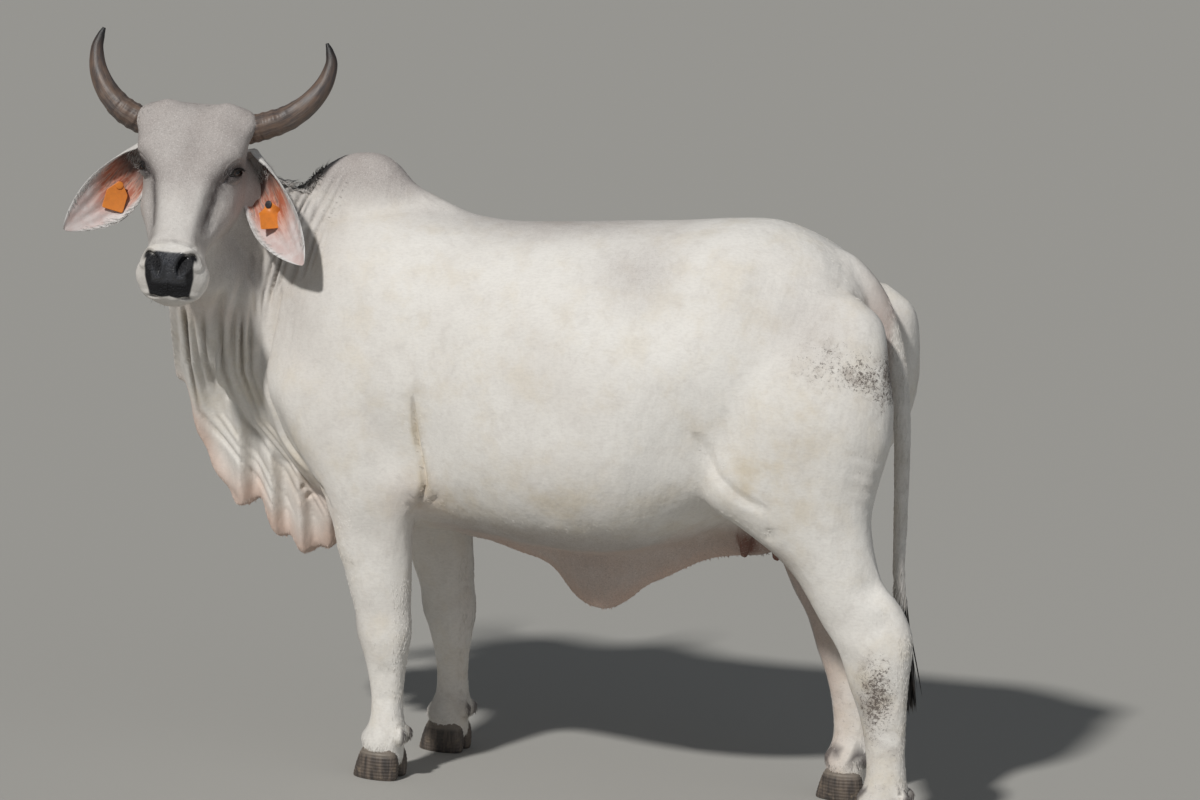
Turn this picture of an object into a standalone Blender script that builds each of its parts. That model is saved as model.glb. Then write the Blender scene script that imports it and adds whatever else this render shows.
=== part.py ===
"""A grey Brahman cow at life size, standing square on a level floor with the head turned to its left.

The cow faces -X, its left side is towards -Y and +Z is up. Lengths are in metres.
The flesh is lofted form by form, fused and smoothed as one skin, and then parted into its named
pieces with thin cuts. Horns, ears, eyes, claws, tags and the tail's switch are pieces of their own.
"""

import math
import random

import bmesh
import bpy
import numpy as np
from mathutils import Matrix, Vector

GAP = 0.0003  # between pieces that meet face to face
BODY_VOXEL, HEAD_VOXEL = 0.0085, 0.0048
BODY_TRIANGLES, HEAD_TRIANGLES = 5300, 3900

# Whole animal
MIDDLE_X, MIDDLE_Y = 0.0715, -0.0690  # the middle of the whole cow, seen from above
LEFT, RIGHT = -1, 1  # the side of the cow, as the sign of Y

# Head: where it is and how it is held
POLL = Vector((-0.692, -0.232, 1.607))
HEAD_YAW = math.radians(-77.0)  # the way the face looks in plan, from +X
HEAD_PITCH = math.radians(56.0)  # below the horizon
HEAD_ROLL = math.radians(-1.5)  # left side down
EYE = (0.158, 0.1005, -0.062)  # along the face, out, and below the brow
EYE_RADIUS = 0.0205

# Trunk: x, top, bottom, half width, height of the widest line
TRUNK = (
    (-0.575, 1.150, 0.900, 0.070, 1.020),
    (-0.545, 1.250, 0.790, 0.135, 0.990),
    (-0.470, 1.335, 0.690, 0.190, 0.960),
    (-0.350, 1.365, 0.620, 0.232, 0.950),
    (-0.190, 1.372, 0.596, 0.254, 0.930),
    (0.000, 1.352, 0.592, 0.288, 0.905),
    (0.150, 1.359, 0.580, 0.318, 0.885),
    (0.320, 1.374, 0.578, 0.330, 0.880),
    (0.460, 1.386, 0.605, 0.316, 0.920),
    (0.580, 1.400, 0.665, 0.285, 1.000),
    (0.690, 1.404, 0.735, 0.258, 1.060),
    (0.790, 1.376, 0.790, 0.235, 1.070),
    (0.870, 1.330, 0.840, 0.205, 1.080),
    (0.925, 1.262, 0.890, 0.160, 1.070),
    (0.955, 1.160, 0.950, 0.085, 1.050),
)
# Hump: x, top, half width
HUMP_BASE = 1.250
HUMP = (
    (-0.560, 1.330, 0.020),
    (-0.520, 1.392, 0.050),
    (-0.465, 1.440, 0.074),
    (-0.415, 1.476, 0.086),
    (-0.350, 1.492, 0.090),
    (-0.300, 1.486, 0.088),
    (-0.262, 1.462, 0.082),
    (-0.225, 1.425, 0.074),
    (-0.160, 1.396, 0.064),
    (-0.070, 1.362, 0.045),
    (0.020, 1.330, 0.020),
)
# Neck: centre, half depth from crest to throat, half width
NECK = (
    ((-0.280, 0.000, 1.040), 0.240, 0.150),
    ((-0.420, -0.002, 1.110), 0.245, 0.150),
    ((-0.550, -0.012, 1.190), 0.214, 0.128),
    ((-0.630, -0.058, 1.272), 0.182, 0.112),
    ((-0.680, -0.118, 1.350), 0.154, 0.102),
    ((-0.706, -0.172, 1.424), 0.128, 0.096),
)
# Throat, between the neck and the root of the dewlap, in the same way
THROAT = (
    ((-0.694, -0.205, 1.375), 0.050, 0.050),
    ((-0.706, -0.214, 1.285), 0.088, 0.070),
    ((-0.692, -0.178, 1.180), 0.118, 0.084),
    ((-0.645, -0.110, 1.050), 0.138, 0.094),
    ((-0.575, -0.045, 0.910), 0.135, 0.096),
    ((-0.490, -0.010, 0.780), 0.110, 0.092),
    ((-0.400, 0.000, 0.700), 0.080, 0.085),
)
# The stretched skin between neck and throat on the outside of the bend
NECK_SIDE = (
    ((-0.700, -0.150, 1.345), 0.060),
    ((-0.706, -0.128, 1.240), 0.086),
    ((-0.680, -0.082, 1.120), 0.102),
    ((-0.620, -0.032, 0.990), 0.102),
    ((-0.530, 0.000, 0.870), 0.090),
)
# Head sections: distance from the poll, dorsal line, depth, half widths of bridge, cheek and jaw
HEAD = (
    (-0.032, -0.085, 0.080, 0.052, 0.050, 0.034),
    (-0.022, -0.046, 0.130, 0.096, 0.080, 0.050),
    (-0.002, -0.016, 0.190, 0.132, 0.098, 0.058),
    (0.025, -0.004, 0.215, 0.144, 0.108, 0.066),
    (0.068, 0.004, 0.250, 0.138, 0.112, 0.074),
    (0.118, 0.006, 0.272, 0.134, 0.116, 0.078),
    (0.160, 0.003, 0.276, 0.121, 0.118, 0.078),
    (0.205, -0.001, 0.262, 0.088, 0.114, 0.074),
    (0.255, -0.002, 0.226, 0.071, 0.106, 0.062),
    (0.310, -0.003, 0.178, 0.060, 0.086, 0.050),
    (0.362, -0.002, 0.144, 0.054, 0.069, 0.045),
    (0.396, 0.002, 0.132, 0.058, 0.074, 0.050),
    (0.422, -0.005, 0.122, 0.060, 0.083, 0.057),
    (0.446, -0.020, 0.104, 0.058, 0.082, 0.056),
    (0.466, -0.042, 0.082, 0.050, 0.072, 0.049),
    (0.481, -0.064, 0.056, 0.037, 0.053, 0.038),
    (0.491, -0.084, 0.034, 0.015, 0.023, 0.018),
)
# Legs, left one: height, front, back, half width, middle of the width
FORELEG = (
    (1.100, -0.400, -0.190, 0.050, 0.150),
    (0.950, -0.470, -0.150, 0.072, 0.172),
    (0.820, -0.445, -0.102, 0.076, 0.184),
    (0.710, -0.372, -0.104, 0.072, 0.184),
    (0.630, -0.338, -0.130, 0.062, 0.178),
    (0.555, -0.316, -0.134, 0.054, 0.172),
    (0.480, -0.298, -0.135, 0.049, 0.168),
    (0.400, -0.276, -0.137, 0.046, 0.165),
    (0.350, -0.264, -0.134, 0.048, 0.165),
    (0.305, -0.252, -0.141, 0.045, 0.164),
    (0.255, -0.238, -0.147, 0.037, 0.164),
    (0.200, -0.228, -0.150, 0.034, 0.164),
    (0.150, -0.228, -0.147, 0.035, 0.164),
    (0.118, -0.238, -0.140, 0.042, 0.164),
    (0.088, -0.252, -0.148, 0.048, 0.164),
    (0.060, -0.260, -0.146, 0.055, 0.164),
    (0.010, -0.272, -0.146, 0.056, 0.164),
    (-0.030, -0.280, -0.146, 0.056, 0.164),
)
HIND_LEG = (
    (1.260, 0.680, 0.930, 0.045, 0.120),
    (1.180, 0.640, 1.000, 0.075, 0.140),
    (1.090, 0.600, 1.026, 0.096, 0.152),
    (1.010, 0.580, 1.040, 0.108, 0.158),
    (0.930, 0.570, 1.040, 0.110, 0.164),
    (0.845, 0.575, 1.020, 0.102, 0.168),
    (0.765, 0.610, 1.004, 0.090, 0.170),
    (0.705, 0.695, 1.008, 0.078, 0.170),
    (0.650, 0.778, 1.022, 0.067, 0.170),
    (0.600, 0.830, 1.050, 0.058, 0.170),
    (0.545, 0.868, 1.090, 0.050, 0.170),
    (0.495, 0.900, 1.113, 0.047, 0.170),
    (0.450, 0.934, 1.117, 0.047, 0.170),
    (0.410, 0.953, 1.113, 0.045, 0.170),
    (0.360, 0.970, 1.110, 0.041, 0.170),
    (0.305, 0.993, 1.109, 0.037, 0.170),
    (0.255, 1.008, 1.109, 0.035, 0.170),
    (0.200, 1.018, 1.110, 0.034, 0.170),
    (0.152, 1.020, 1.116, 0.036, 0.170),
    (0.118, 1.012, 1.120, 0.043, 0.170),
    (0.088, 1.000, 1.108, 0.049, 0.170),
    (0.060, 0.992, 1.106, 0.056, 0.170),
    (0.010, 0.980, 1.106, 0.057, 0.170),
    (-0.030, 0.972, 1.106, 0.057, 0.170),
)
RIGHT_FORE_STEP = 0.036  # how far back the right fore foot stands
RIGHT_HIND_STEP = -0.185  # how far forward the right hind foot stands

# Dewlap: x of a fold, height of its root inside the throat, height of its free edge
DEWLAP = (
    (-0.846, 1.240, 1.080),
    (-0.842, 1.250, 0.950),
    (-0.834, 1.250, 0.900),
    (-0.812, 1.250, 0.888),
    (-0.796, 1.240, 0.850),
    (-0.780, 1.230, 0.775),
    (-0.755, 1.210, 0.725),
    (-0.735, 1.190, 0.668),
    (-0.710, 1.160, 0.626),
    (-0.672, 1.110, 0.598),
    (-0.610, 1.020, 0.600),
    (-0.582, 0.970, 0.562),
    (-0.557, 0.930, 0.532),
    (-0.525, 0.880, 0.514),
    (-0.492, 0.830, 0.494),
    (-0.445, 0.770, 0.496),
    (-0.391, 0.720, 0.532),
    (-0.320, 0.690, 0.585),
    (-0.270, 0.680, 0.640),
)
DEWLAP_TURN = 0.195  # how far the top of the curtain follows the head to the left
DEWLAP_THICKNESS = 0.034
PLEAT_PITCH = 0.078
PLEAT_DEPTH = 0.024
# Navel flap: x, lowest point, half width at the root, height of the root inside the belly
NAVEL_FLAP = (
    (-0.120, 0.594, 0.020, 0.660),
    (-0.060, 0.576, 0.055, 0.660),
    (0.020, 0.566, 0.080, 0.660),
    (0.085, 0.554, 0.092, 0.655),
    (0.135, 0.540, 0.095, 0.655),
    (0.172, 0.515, 0.092, 0.655),
    (0.200, 0.482, 0.086, 0.655),
    (0.228, 0.456, 0.080, 0.655),
    (0.262, 0.442, 0.076, 0.655),
    (0.310, 0.437, 0.074, 0.655),
    (0.356, 0.460, 0.074, 0.657),
    (0.402, 0.500, 0.074, 0.662),
    (0.460, 0.532, 0.072, 0.676),
    (0.540, 0.574, 0.066, 0.708),
    (0.610, 0.592, 0.058, 0.744),
    (0.670, 0.600, 0.050, 0.776),
    (0.715, 0.612, 0.042, 0.798),
    (0.760, 0.640, 0.032, 0.810),
)
UDDER = Vector((0.725, 0.0, 0.745))
UDDER_HALF = Vector((0.105, 0.085, 0.095))
TEATS = ((-0.068, 0.034), (0.012, 0.036))  # fore and aft, out from the middle
TEAT_FOOT, TEAT_RADIUS = 0.606, 0.0115

# Tail: centre, radius
TAIL = (
    ((0.780, 0.000, 1.290), 0.040),
    ((0.846, 0.000, 1.306), 0.043),
    ((0.905, 0.000, 1.274), 0.036),
    ((0.946, -0.002, 1.222), 0.033),
    ((0.980, -0.006, 1.150), 0.029),
    ((1.004, -0.010, 1.070), 0.025),
    ((1.022, -0.014, 0.960), 0.0205),
    ((1.028, -0.016, 0.840), 0.0180),
    ((1.029, -0.012, 0.720), 0.0155),
    ((1.029, -0.008, 0.620), 0.0130),
    ((1.034, -0.004, 0.545), 0.0110),
    ((1.042, -0.002, 0.495), 0.0095),
)
SWITCH_TOP = Vector((1.036, -0.003, 0.530))
SWITCH_LENGTH = 0.270
SWITCH_LOCKS = 12

# Horn, left one: out from the middle of the head, forward, up, and its radius
HORN = (
    (0.085, -0.040, -0.072, 0.0340),
    (0.135, -0.032, -0.058, 0.0335),
    (0.172, -0.028, -0.044, 0.0325),
    (0.208, -0.034, -0.026, 0.0305),
    (0.249, -0.046, 0.010, 0.0265),
    (0.278, -0.063, 0.055, 0.0215),
    (0.289, -0.080, 0.101, 0.0155),
    (0.283, -0.090, 0.132, 0.0098),
    (0.275, -0.094, 0.152, 0.0040),
)
HORN_SPREAD = (1.10, 0.86)  # left, right: how far each reaches beyond its base
# Ear: where its root is in the head, the way it hangs, and the way its cup faces
EAR_ROOT = (0.082, 0.118, -0.094)  # along the face, out, and below the brow
EAR_HANG = ((0.178, 0.142, -0.234), (0.186, 0.055, -0.208))  # left, right: out, forward, up
EAR_FACING = (-0.26, 0.93, 0.02)
EAR_SHAPE = (  # along the ear, half width, depth of the cup, half angle of the curl
    (-0.14, 0.018, 0.028, 150),
    (0.00, 0.021, 0.030, 140),
    (0.08, 0.028, 0.036, 125),
    (0.20, 0.044, 0.038, 95),
    (0.36, 0.060, 0.034, 70),
    (0.54, 0.065, 0.026, 55),
    (0.70, 0.056, 0.018, 45),
    (0.85, 0.037, 0.010, 40),
    (0.95, 0.018, 0.004, 35),
    (1.00, 0.005, 0.001, 30),
)
EAR_THICKNESS = 0.0065
TAG = (0.052, 0.062, 0.0024)  # width, height, thickness
TAG_SHARE = 0.46  # where it is pinned, as a share of the ear's length
TAG_TURN = (24.0, -16.0)  # left, right: how far each has swung round, in degrees

# Claws: height, front, back, half width of one claw, as shares of the foot
CLAW_LENGTH, CLAW_WIDTH = 0.118, 0.050
CORONET_FRONT, CORONET_BACK = 0.078, 0.046
DEWCLAW = (0.017, 0.014, 0.020)


def clear_scene():
    for old in list(bpy.data.objects):
        bpy.data.objects.remove(old)


def material(name, colour, roughness, metallic=0.0):
    made = bpy.data.materials.new(name)
    made.use_nodes = True
    shader = made.node_tree.nodes["Principled BSDF"]
    shader.inputs["Base Color"].default_value = (*colour, 1.0)
    shader.inputs["Roughness"].default_value = roughness
    shader.inputs["Metallic"].default_value = metallic
    made.diffuse_color = (*colour, 1.0)
    return made


def new_object(name, mesh):
    made = bpy.data.objects.new(name, mesh)
    bpy.context.scene.collection.objects.link(made)
    return made


def evaluated_copy(obj, name):
    """A plain mesh object with obj's modifiers and placing worked in; obj is removed."""
    bpy.context.view_layer.update()
    graph = bpy.context.evaluated_depsgraph_get()
    mesh = bpy.data.meshes.new_from_object(obj.evaluated_get(graph), depsgraph=graph)
    mesh.transform(obj.matrix_world)
    bpy.data.objects.remove(obj)
    made = new_object(name, mesh)
    return made


def smooth_through(stations, count):
    """Reads `count` rows from a Catmull-Rom curve through the stations, spaced evenly along it."""
    knots = np.asarray(stations, float)
    ends = np.vstack([2 * knots[0] - knots[1], knots, 2 * knots[-1] - knots[-2]])
    steps = np.r_[0, np.cumsum(np.linalg.norm(np.diff(knots, axis=0), axis=1))]
    at = np.interp(np.linspace(0, steps[-1], count), steps, np.arange(len(knots)))
    span = np.minimum(at.astype(int), len(knots) - 2)
    t = (at - span)[:, None]
    a, b, c, d = (ends[span + k] for k in range(4))
    return 0.5 * (2 * b + (c - a) * t + (2 * a - 5 * b + 4 * c - d) * t**2 + (3 * b - a - 3 * c + d) * t**3)


def loft(name, rings):
    """Skins rings of points, shaped (rings, points round, 3), and closes both ends with a fan."""
    rings = np.asarray(rings, float)
    count, around = rings.shape[:2]
    points = np.vstack([rings.reshape(-1, 3), rings[0].mean(0), rings[-1].mean(0)])
    faces = []
    for i in range(count - 1):
        for j in range(around):
            k = (j + 1) % around
            faces.append((i * around + j, i * around + k, (i + 1) * around + k, (i + 1) * around + j))
    first, last = count * around, count * around + 1
    for j in range(around):
        k = (j + 1) % around
        faces.append((first, k, j))
        faces.append((last, (count - 1) * around + j, (count - 1) * around + k))
    mesh = bpy.data.meshes.new(name)
    mesh.from_pydata(points.tolist(), [], faces)
    work = bmesh.new()
    work.from_mesh(mesh)
    bmesh.ops.recalc_face_normals(work, faces=work.faces)
    work.to_mesh(mesh)
    work.free()
    return new_object(name, mesh)


def round_angles(around):
    return np.linspace(0, 2 * math.pi, around, endpoint=False)


def power(value, exponent):
    return np.sign(value) * np.abs(value) ** exponent


def trunk(around=64, count=80):
    """Upright egg-shaped sections along X, fuller below than above."""
    rings = []
    for x, top, bottom, half, widest in smooth_through(TRUNK, count):
        angle = round_angles(around)
        up, out = np.cos(angle), np.sin(angle)
        reach = np.where(up > 0, top - widest, widest - bottom)
        z = widest + reach * power(up, 0.94)
        y = half * power(out, np.where(up > 0, 0.98, 0.86))
        rings.append(np.c_[np.full(around, x), y, z])
    return loft("trunk", rings)


def hump(around=40, count=40):
    rings = []
    for x, top, half in smooth_through(HUMP, count):
        angle = round_angles(around)
        z = HUMP_BASE + (top - HUMP_BASE) * np.cos(angle)
        waist = 1.0 - 0.18 * np.cos(angle)
        rings.append(np.c_[np.full(around, x), half * waist * power(np.sin(angle), 0.8), z])
    return loft("hump", rings)


def tube(name, stations, around, count, level):
    """A round or oval tube along a path: rows are a centre and one or two half widths.

    `level` is a direction that the first half width is measured in, as nearly as the path allows.
    """
    rows = smooth_through([(*centre, *halves) for centre, *halves in stations], count)
    path, halves = rows[:, :3], rows[:, 3:]
    tangent = np.gradient(path, axis=0)
    aside = np.cross(tangent, np.tile([level], (len(path), 1)))
    aside /= np.linalg.norm(aside, axis=1)[:, None]
    crest = np.cross(aside, tangent)
    crest /= np.linalg.norm(crest, axis=1)[:, None]
    angle = round_angles(around)[None, :, None]
    deep, wide = halves[:, :1, None], halves[:, -1:, None]
    rings = path[:, None] + deep * np.cos(angle) * crest[:, None] + wide * np.sin(angle) * aside[:, None]
    return loft(name, rings)


def leg(name, stations, side, step, step_from, step_to, around=36, count=70):
    """Level oval sections; `step` moves the foot along X, easing in between two heights."""
    rings = []
    for z, front, back, half, middle in smooth_through(stations, count):
        eased = np.clip((step_from - z) / (step_from - step_to), 0, 1)
        shift = step * eased * eased * (3 - 2 * eased)
        angle = round_angles(around)
        x = (front + back) / 2 + shift + (back - front) / 2 * power(np.cos(angle), 0.92)
        y = side * middle + half * power(np.sin(angle), 0.92)
        rings.append(np.c_[x, y, np.full(around, z)])
    return loft(name, rings)


def head_axes():
    """Columns: along the face towards the muzzle, out to the cow's left, and up off the brow."""
    forward = Vector((math.cos(HEAD_YAW), math.sin(HEAD_YAW), 0.0))
    left = Vector((-forward.y, forward.x, 0.0))
    along = forward * math.cos(HEAD_PITCH) - Vector((0, 0, math.sin(HEAD_PITCH)))
    brow = forward * math.sin(HEAD_PITCH) + Vector((0, 0, math.cos(HEAD_PITCH)))
    tilt = Matrix.Rotation(HEAD_ROLL, 3, forward)
    return tilt @ along, tilt @ left, tilt @ brow


def in_head(along, out, up):
    """A point given in the head's own directions, from the poll."""
    axes = head_axes()
    return POLL + axes[0] * along + axes[1] * out + axes[2] * up


def head(around=56, count=76):
    """Sections across the face: brow, cheek and jaw widths at three depths, joined smoothly."""
    axes = np.array([tuple(axis) for axis in head_axes()])
    rings = []
    for along, line, depth, brow, cheek, jaw in smooth_through(HEAD, count):
        side = [(0.0, 0.0), (brow * 0.72, 0.02), (brow, 0.13), (cheek, 0.46), (jaw, 0.86)]
        half = [(w, line - d * depth) for w, d in side]
        other = [(-w, h) for w, h in half[:0:-1]]
        outline = np.array([*half, (0.0, line - depth), *other])
        turned = np.vstack([outline[-1:], outline, outline[:2]])
        t = np.linspace(0, len(outline), around, endpoint=False)
        span = t.astype(int)
        t = (t - span)[:, None]
        a, b, c, d = (turned[span], turned[span + 1], turned[span + 2], turned[(span + 3) % len(turned)])
        across = 0.5 * (2 * b + (c - a) * t + (2 * a - 5 * b + 4 * c - d) * t**2 + (3 * b - a - 3 * c + d) * t**3)
        local = np.c_[np.full(around, along), across]
        rings.append(local @ axes + np.array(POLL))
    return loft("head_form", rings)


def dewlap(columns=110, deep=14):
    """A curtain of skin under the neck, thrown into upright pleats that deepen towards its edge."""
    folds = smooth_through(DEWLAP, columns)
    x, root, edge = folds.T
    phase = 2 * math.pi * (x - x[0]) / PLEAT_PITCH
    ease = np.clip(np.minimum(np.arange(columns), np.arange(columns)[::-1]) / 12, 0, 1)
    rows = []
    for t in np.linspace(0, 1, deep):
        z = root + (edge - root) * t
        turn = np.clip((z - 0.80) / 0.40, 0, 1)
        ahead = np.clip((-0.600 - x) / 0.220, 0, 1)
        turn = DEWLAP_TURN * turn * turn * (3 - 2 * turn) * (0.35 + 0.65 * ahead)
        lean = 0.36 * turn  # keeps the outline as the top turns aside
        pleat = PLEAT_DEPTH * np.sin(phase + 1.2 * np.sin(2.3 * x + 9 * z)) * ease * t**0.6
        rows.append(np.c_[x + lean + 0.3 * pleat, -turn + pleat, z])
    grid = np.array(rows)
    faces = [
        (i * columns + j, i * columns + j + 1, (i + 1) * columns + j + 1, (i + 1) * columns + j)
        for i in range(deep - 1)
        for j in range(columns - 1)
    ]
    mesh = bpy.data.meshes.new("dewlap_form")
    mesh.from_pydata(grid.reshape(-1, 3).tolist(), [], faces)
    sheet = new_object("dewlap_form", mesh)
    wall = sheet.modifiers.new("thickness", "SOLIDIFY")
    wall.thickness = DEWLAP_THICKNESS
    wall.offset = 0.0
    return evaluated_copy(sheet, "dewlap_form")


def navel_flap(around=32, count=60):
    """A wedge of loose skin under the belly, wide at its root and thin at its edge."""
    rings = []
    for x, low, half, root in smooth_through(NAVEL_FLAP, count):
        angle = round_angles(around)
        z = (root + low) / 2 + (root - low) / 2 * np.cos(angle)
        taper = 0.30 + 0.70 * ((np.cos(angle) + 1) / 2) ** 0.8
        rings.append(np.c_[np.full(around, x), half * taper * np.sin(angle), z])
    return loft("navel_form", rings)


def ellipsoid(name, centre, halves, around=28):
    mesh = bpy.data.meshes.new(name)
    work = bmesh.new()
    bmesh.ops.create_uvsphere(work, u_segments=around, v_segments=around * 2 // 3, radius=1.0)
    bmesh.ops.scale(work, verts=work.verts, vec=halves)
    bmesh.ops.translate(work, verts=work.verts, vec=centre)
    work.to_mesh(mesh)
    work.free()
    return new_object(name, mesh)


def udder():
    made = [ellipsoid("udder_form", UDDER, UDDER_HALF)]
    for fore, out in TEATS:
        for side in (LEFT, RIGHT):
            x, y = UDDER.x + fore, side * out
            rows = (
                ((x + 0.004, y * 0.9, 0.690), TEAT_RADIUS * 1.9),
                ((x + 0.002, y * 0.96, 0.662), TEAT_RADIUS * 1.5),
                ((x, y, 0.635), TEAT_RADIUS * 1.15),
                ((x, y, TEAT_FOOT), TEAT_RADIUS * 0.85),
            )
            made.append(tube("teat_form", rows, 12, 10, (1, 0, 0)))
    return made


def dewclaws():
    made = []
    for side in (LEFT, RIGHT):
        fore, hind = (0.0, 0.0) if side == LEFT else (RIGHT_FORE_STEP, RIGHT_HIND_STEP)
        for x, middle in ((-0.138 + fore, 0.164), (1.124 + hind, 0.170)):
            for out in (-0.021, 0.021):
                made.append(ellipsoid("dewclaw_form", (x, side * middle + out, 0.112), DEWCLAW, 12))
    return made


def lids():
    """Rims of skin over and under each eye, from the inner corner to the outer one."""
    made = []
    for out in (-1, 1):
        for rise, thick in ((0.0185, 0.0080), (-0.0180, 0.0064)):
            rows = []
            for t in (0.0, 0.2, 0.4, 0.6, 0.8, 1.0):
                arch = math.sin(math.pi * t) ** 0.8
                along = EYE[0] + 0.029 - 0.058 * t
                up = EYE[2] + 0.005 + rise * arch - 0.006 * t
                across = EYE[1] + 0.0115 + 0.0075 * arch - abs(up - EYE[2]) * 0.30
                rows.append((tuple(in_head(along, out * across, up)), thick * (0.65 + 0.35 * arch)))
            made.append(tube("lid_form", rows, 10, 20, (0, 0, 1)))
    return made


def swellings():
    """Bone and muscle under the skin: centre, reach, and how far the skin is lifted or drawn in."""
    spots = []
    for side in (LEFT, RIGHT):
        fore, hind = (0.0, 0.0) if side == LEFT else (RIGHT_FORE_STEP, RIGHT_HIND_STEP)
        spots += [
            ((0.640, side * 0.240, 1.335), 0.060, 0.022),  # hook bone
            ((0.960, side * 0.125, 1.190), 0.050, 0.016),  # pin bone
            ((0.500, side * 0.280, 1.220), 0.100, -0.020),  # hollow of the flank
            ((0.790, side * 0.215, 1.230), 0.100, -0.012),  # between hook and pin
            ((0.860 + 0.2 * hind, side * 0.260, 1.020), 0.130, 0.012),  # round of the thigh
            ((0.640 + 0.7 * hind, side * 0.250, 0.790), 0.070, 0.016),  # stifle
            ((0.560 + 0.5 * hind, side * 0.270, 0.900), 0.080, -0.012),  # fold before the stifle
            ((-0.470, side * 0.190, 0.930), 0.080, 0.022),  # point of the shoulder
            ((-0.330, side * 0.170, 1.240), 0.110, 0.010),  # top of the shoulder blade
            ((-0.250, side * 0.240, 0.960), 0.100, 0.012),  # the muscle above the elbow
            ((-0.075, side * 0.250, 0.850), 0.075, -0.014),  # crease behind the shoulder
            ((-0.110, side * 0.225, 0.735), 0.045, 0.016),  # elbow
            ((1.030 + 0.6 * hind, side * 0.214, 0.600), 0.040, -0.010),  # hollow before the hamstring
            ((1.030 + 0.6 * hind, side * 0.126, 0.600), 0.040, -0.010),
            ((-0.255 + fore, side * 0.165, 0.350), 0.035, 0.005),  # knee
        ]
    return spots


def head_swellings():
    """The same for the head, in its own directions: along, out, up, reach, lift."""
    spots = []
    for out in (-1, 1):
        for along, across, up, reach, lift in (
            (0.130, 0.126, -0.026, 0.028, 0.009),  # brow over the eye
            (0.160, 0.122, -0.062, 0.030, -0.010),  # socket
            (0.070, 0.128, -0.080, 0.030, -0.012),  # temple
            (0.235, 0.104, -0.080, 0.036, 0.007),  # cheekbone
            (0.285, 0.066, -0.034, 0.036, -0.006),  # beside the nose bone
            (0.200, 0.100, -0.175, 0.050, 0.010),  # chewing muscle
            (0.420, 0.066, -0.014, 0.018, 0.005),  # wing of the nostril
            (0.430, 0.078, -0.075, 0.030, 0.005),  # upper lip
            (0.030, 0.120, -0.020, 0.030, 0.006),  # collar of the horn
        ):
            spots.append((tuple(in_head(along, out * across, up)), reach, lift))
    return spots


def carvings():
    """Grooves cut in the head, in its own directions: the line, the width, the depth."""
    lines = []
    for out in (-1, 1):
        nostril = ((0.446, 0.030, -0.022), (0.436, 0.046, -0.014), (0.430, 0.058, -0.020), (0.438, 0.064, -0.036))
        mouth = (
            (0.497, 0.000, -0.100),
            (0.486, 0.034, -0.101),
            (0.464, 0.060, -0.102),
            (0.428, 0.070, -0.100),
            (0.385, 0.062, -0.093),
        )
        crease = ((0.196, 0.086, -0.040), (0.225, 0.080, -0.052), (0.262, 0.076, -0.052))
        for line, width, depth in ((nostril, 0.009, 0.015), (mouth, 0.0075, 0.010), (crease, 0.010, 0.005)):
            lines.append(([(along, out * across, up) for along, across, up in line], width, depth))
    return lines


def read_points(mesh):
    points = np.empty(len(mesh.vertices) * 3)
    mesh.vertices.foreach_get("co", points)
    normals = np.empty(len(mesh.vertices) * 3)
    mesh.vertices.foreach_get("normal", normals)
    return points.reshape(-1, 3), normals.reshape(-1, 3)


def write_points(mesh, points):
    mesh.vertices.foreach_set("co", points.ravel())
    mesh.update()


def model_relief(mesh, spots, lines):
    """Lifts and draws in the skin over bones and muscles, and cuts the grooves."""
    points, normals = read_points(mesh)
    for centre, reach, lift in spots:
        away = np.linalg.norm(points - centre, axis=1)
        points = points + normals * (lift * np.exp(-((away / reach) ** 2)))[:, None]
    for line, width, depth in lines:
        away = np.full(len(points), 1.0)
        for spot in smooth_through([tuple(in_head(*at)) for at in line], 24):
            away = np.minimum(away, np.linalg.norm(points - spot, axis=1))
        points = points - normals * (depth * np.exp(-((away / width) ** 2)))[:, None]
    write_points(mesh, points)


def fuse(pieces, name, voxel, fine, coarse):
    """Joins overlapping closed forms as one skin and eases the creases, more on the thick parts."""
    whole = bmesh.new()
    for piece in pieces:
        whole.from_mesh(piece.data)
        bpy.data.objects.remove(piece)
    mesh = bpy.data.meshes.new(name)
    whole.to_mesh(mesh)
    whole.free()
    skin = new_object(name, mesh)
    remesh = skin.modifiers.new("fuse", "REMESH")
    remesh.mode = "VOXEL"
    remesh.voxel_size = voxel
    skin = evaluated_copy(skin, name)
    points, _ = read_points(skin.data)
    soft = skin.vertex_groups.new(name="soft")
    thick = (points[:, 2] > 0.66) & (points[:, 0] > -0.66)
    soft.add(np.flatnonzero(thick).tolist(), 1.0, "REPLACE")
    ease = skin.modifiers.new("ease", "SMOOTH")
    ease.factor, ease.iterations = 0.5, fine
    more = skin.modifiers.new("ease_thick", "SMOOTH")
    more.factor, more.iterations, more.vertex_group = 0.5, coarse, "soft"
    return evaluated_copy(skin, name)


def thin_out(skin, budget):
    triangles = sum(len(face.vertices) - 2 for face in skin.data.polygons)
    thin = skin.modifiers.new("thin", "DECIMATE")
    thin.ratio = budget / triangles
    return evaluated_copy(skin, skin.name)


def body_flesh():
    forms = [
        trunk(),
        hump(),
        tube("neck_form", NECK, 40, 50, (1, 0, 0.35)),
        tube("throat_form", THROAT, 32, 40, (1, 0, 0.35)),
        tube("neck_side_form", NECK_SIDE, 32, 40, (1, 0, 0.35)),
        head(),
        dewlap(),
        navel_flap(),
        leg("foreleg_left", FORELEG, LEFT, 0.0, 0.8, 0.3),
        leg("foreleg_right", FORELEG, RIGHT, RIGHT_FORE_STEP, 0.8, 0.3),
        leg("hind_leg_left", HIND_LEG, LEFT, 0.0, 1.25, 0.4),
        leg("hind_leg_right", HIND_LEG, RIGHT, RIGHT_HIND_STEP, 1.25, 0.4),
        *udder(),
        *dewclaws(),
    ]
    skin = fuse(forms, "torso", BODY_VOXEL, 4, 16)
    model_relief(skin.data, swellings(), [])
    return thin_out(skin, BODY_TRIANGLES)


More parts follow.
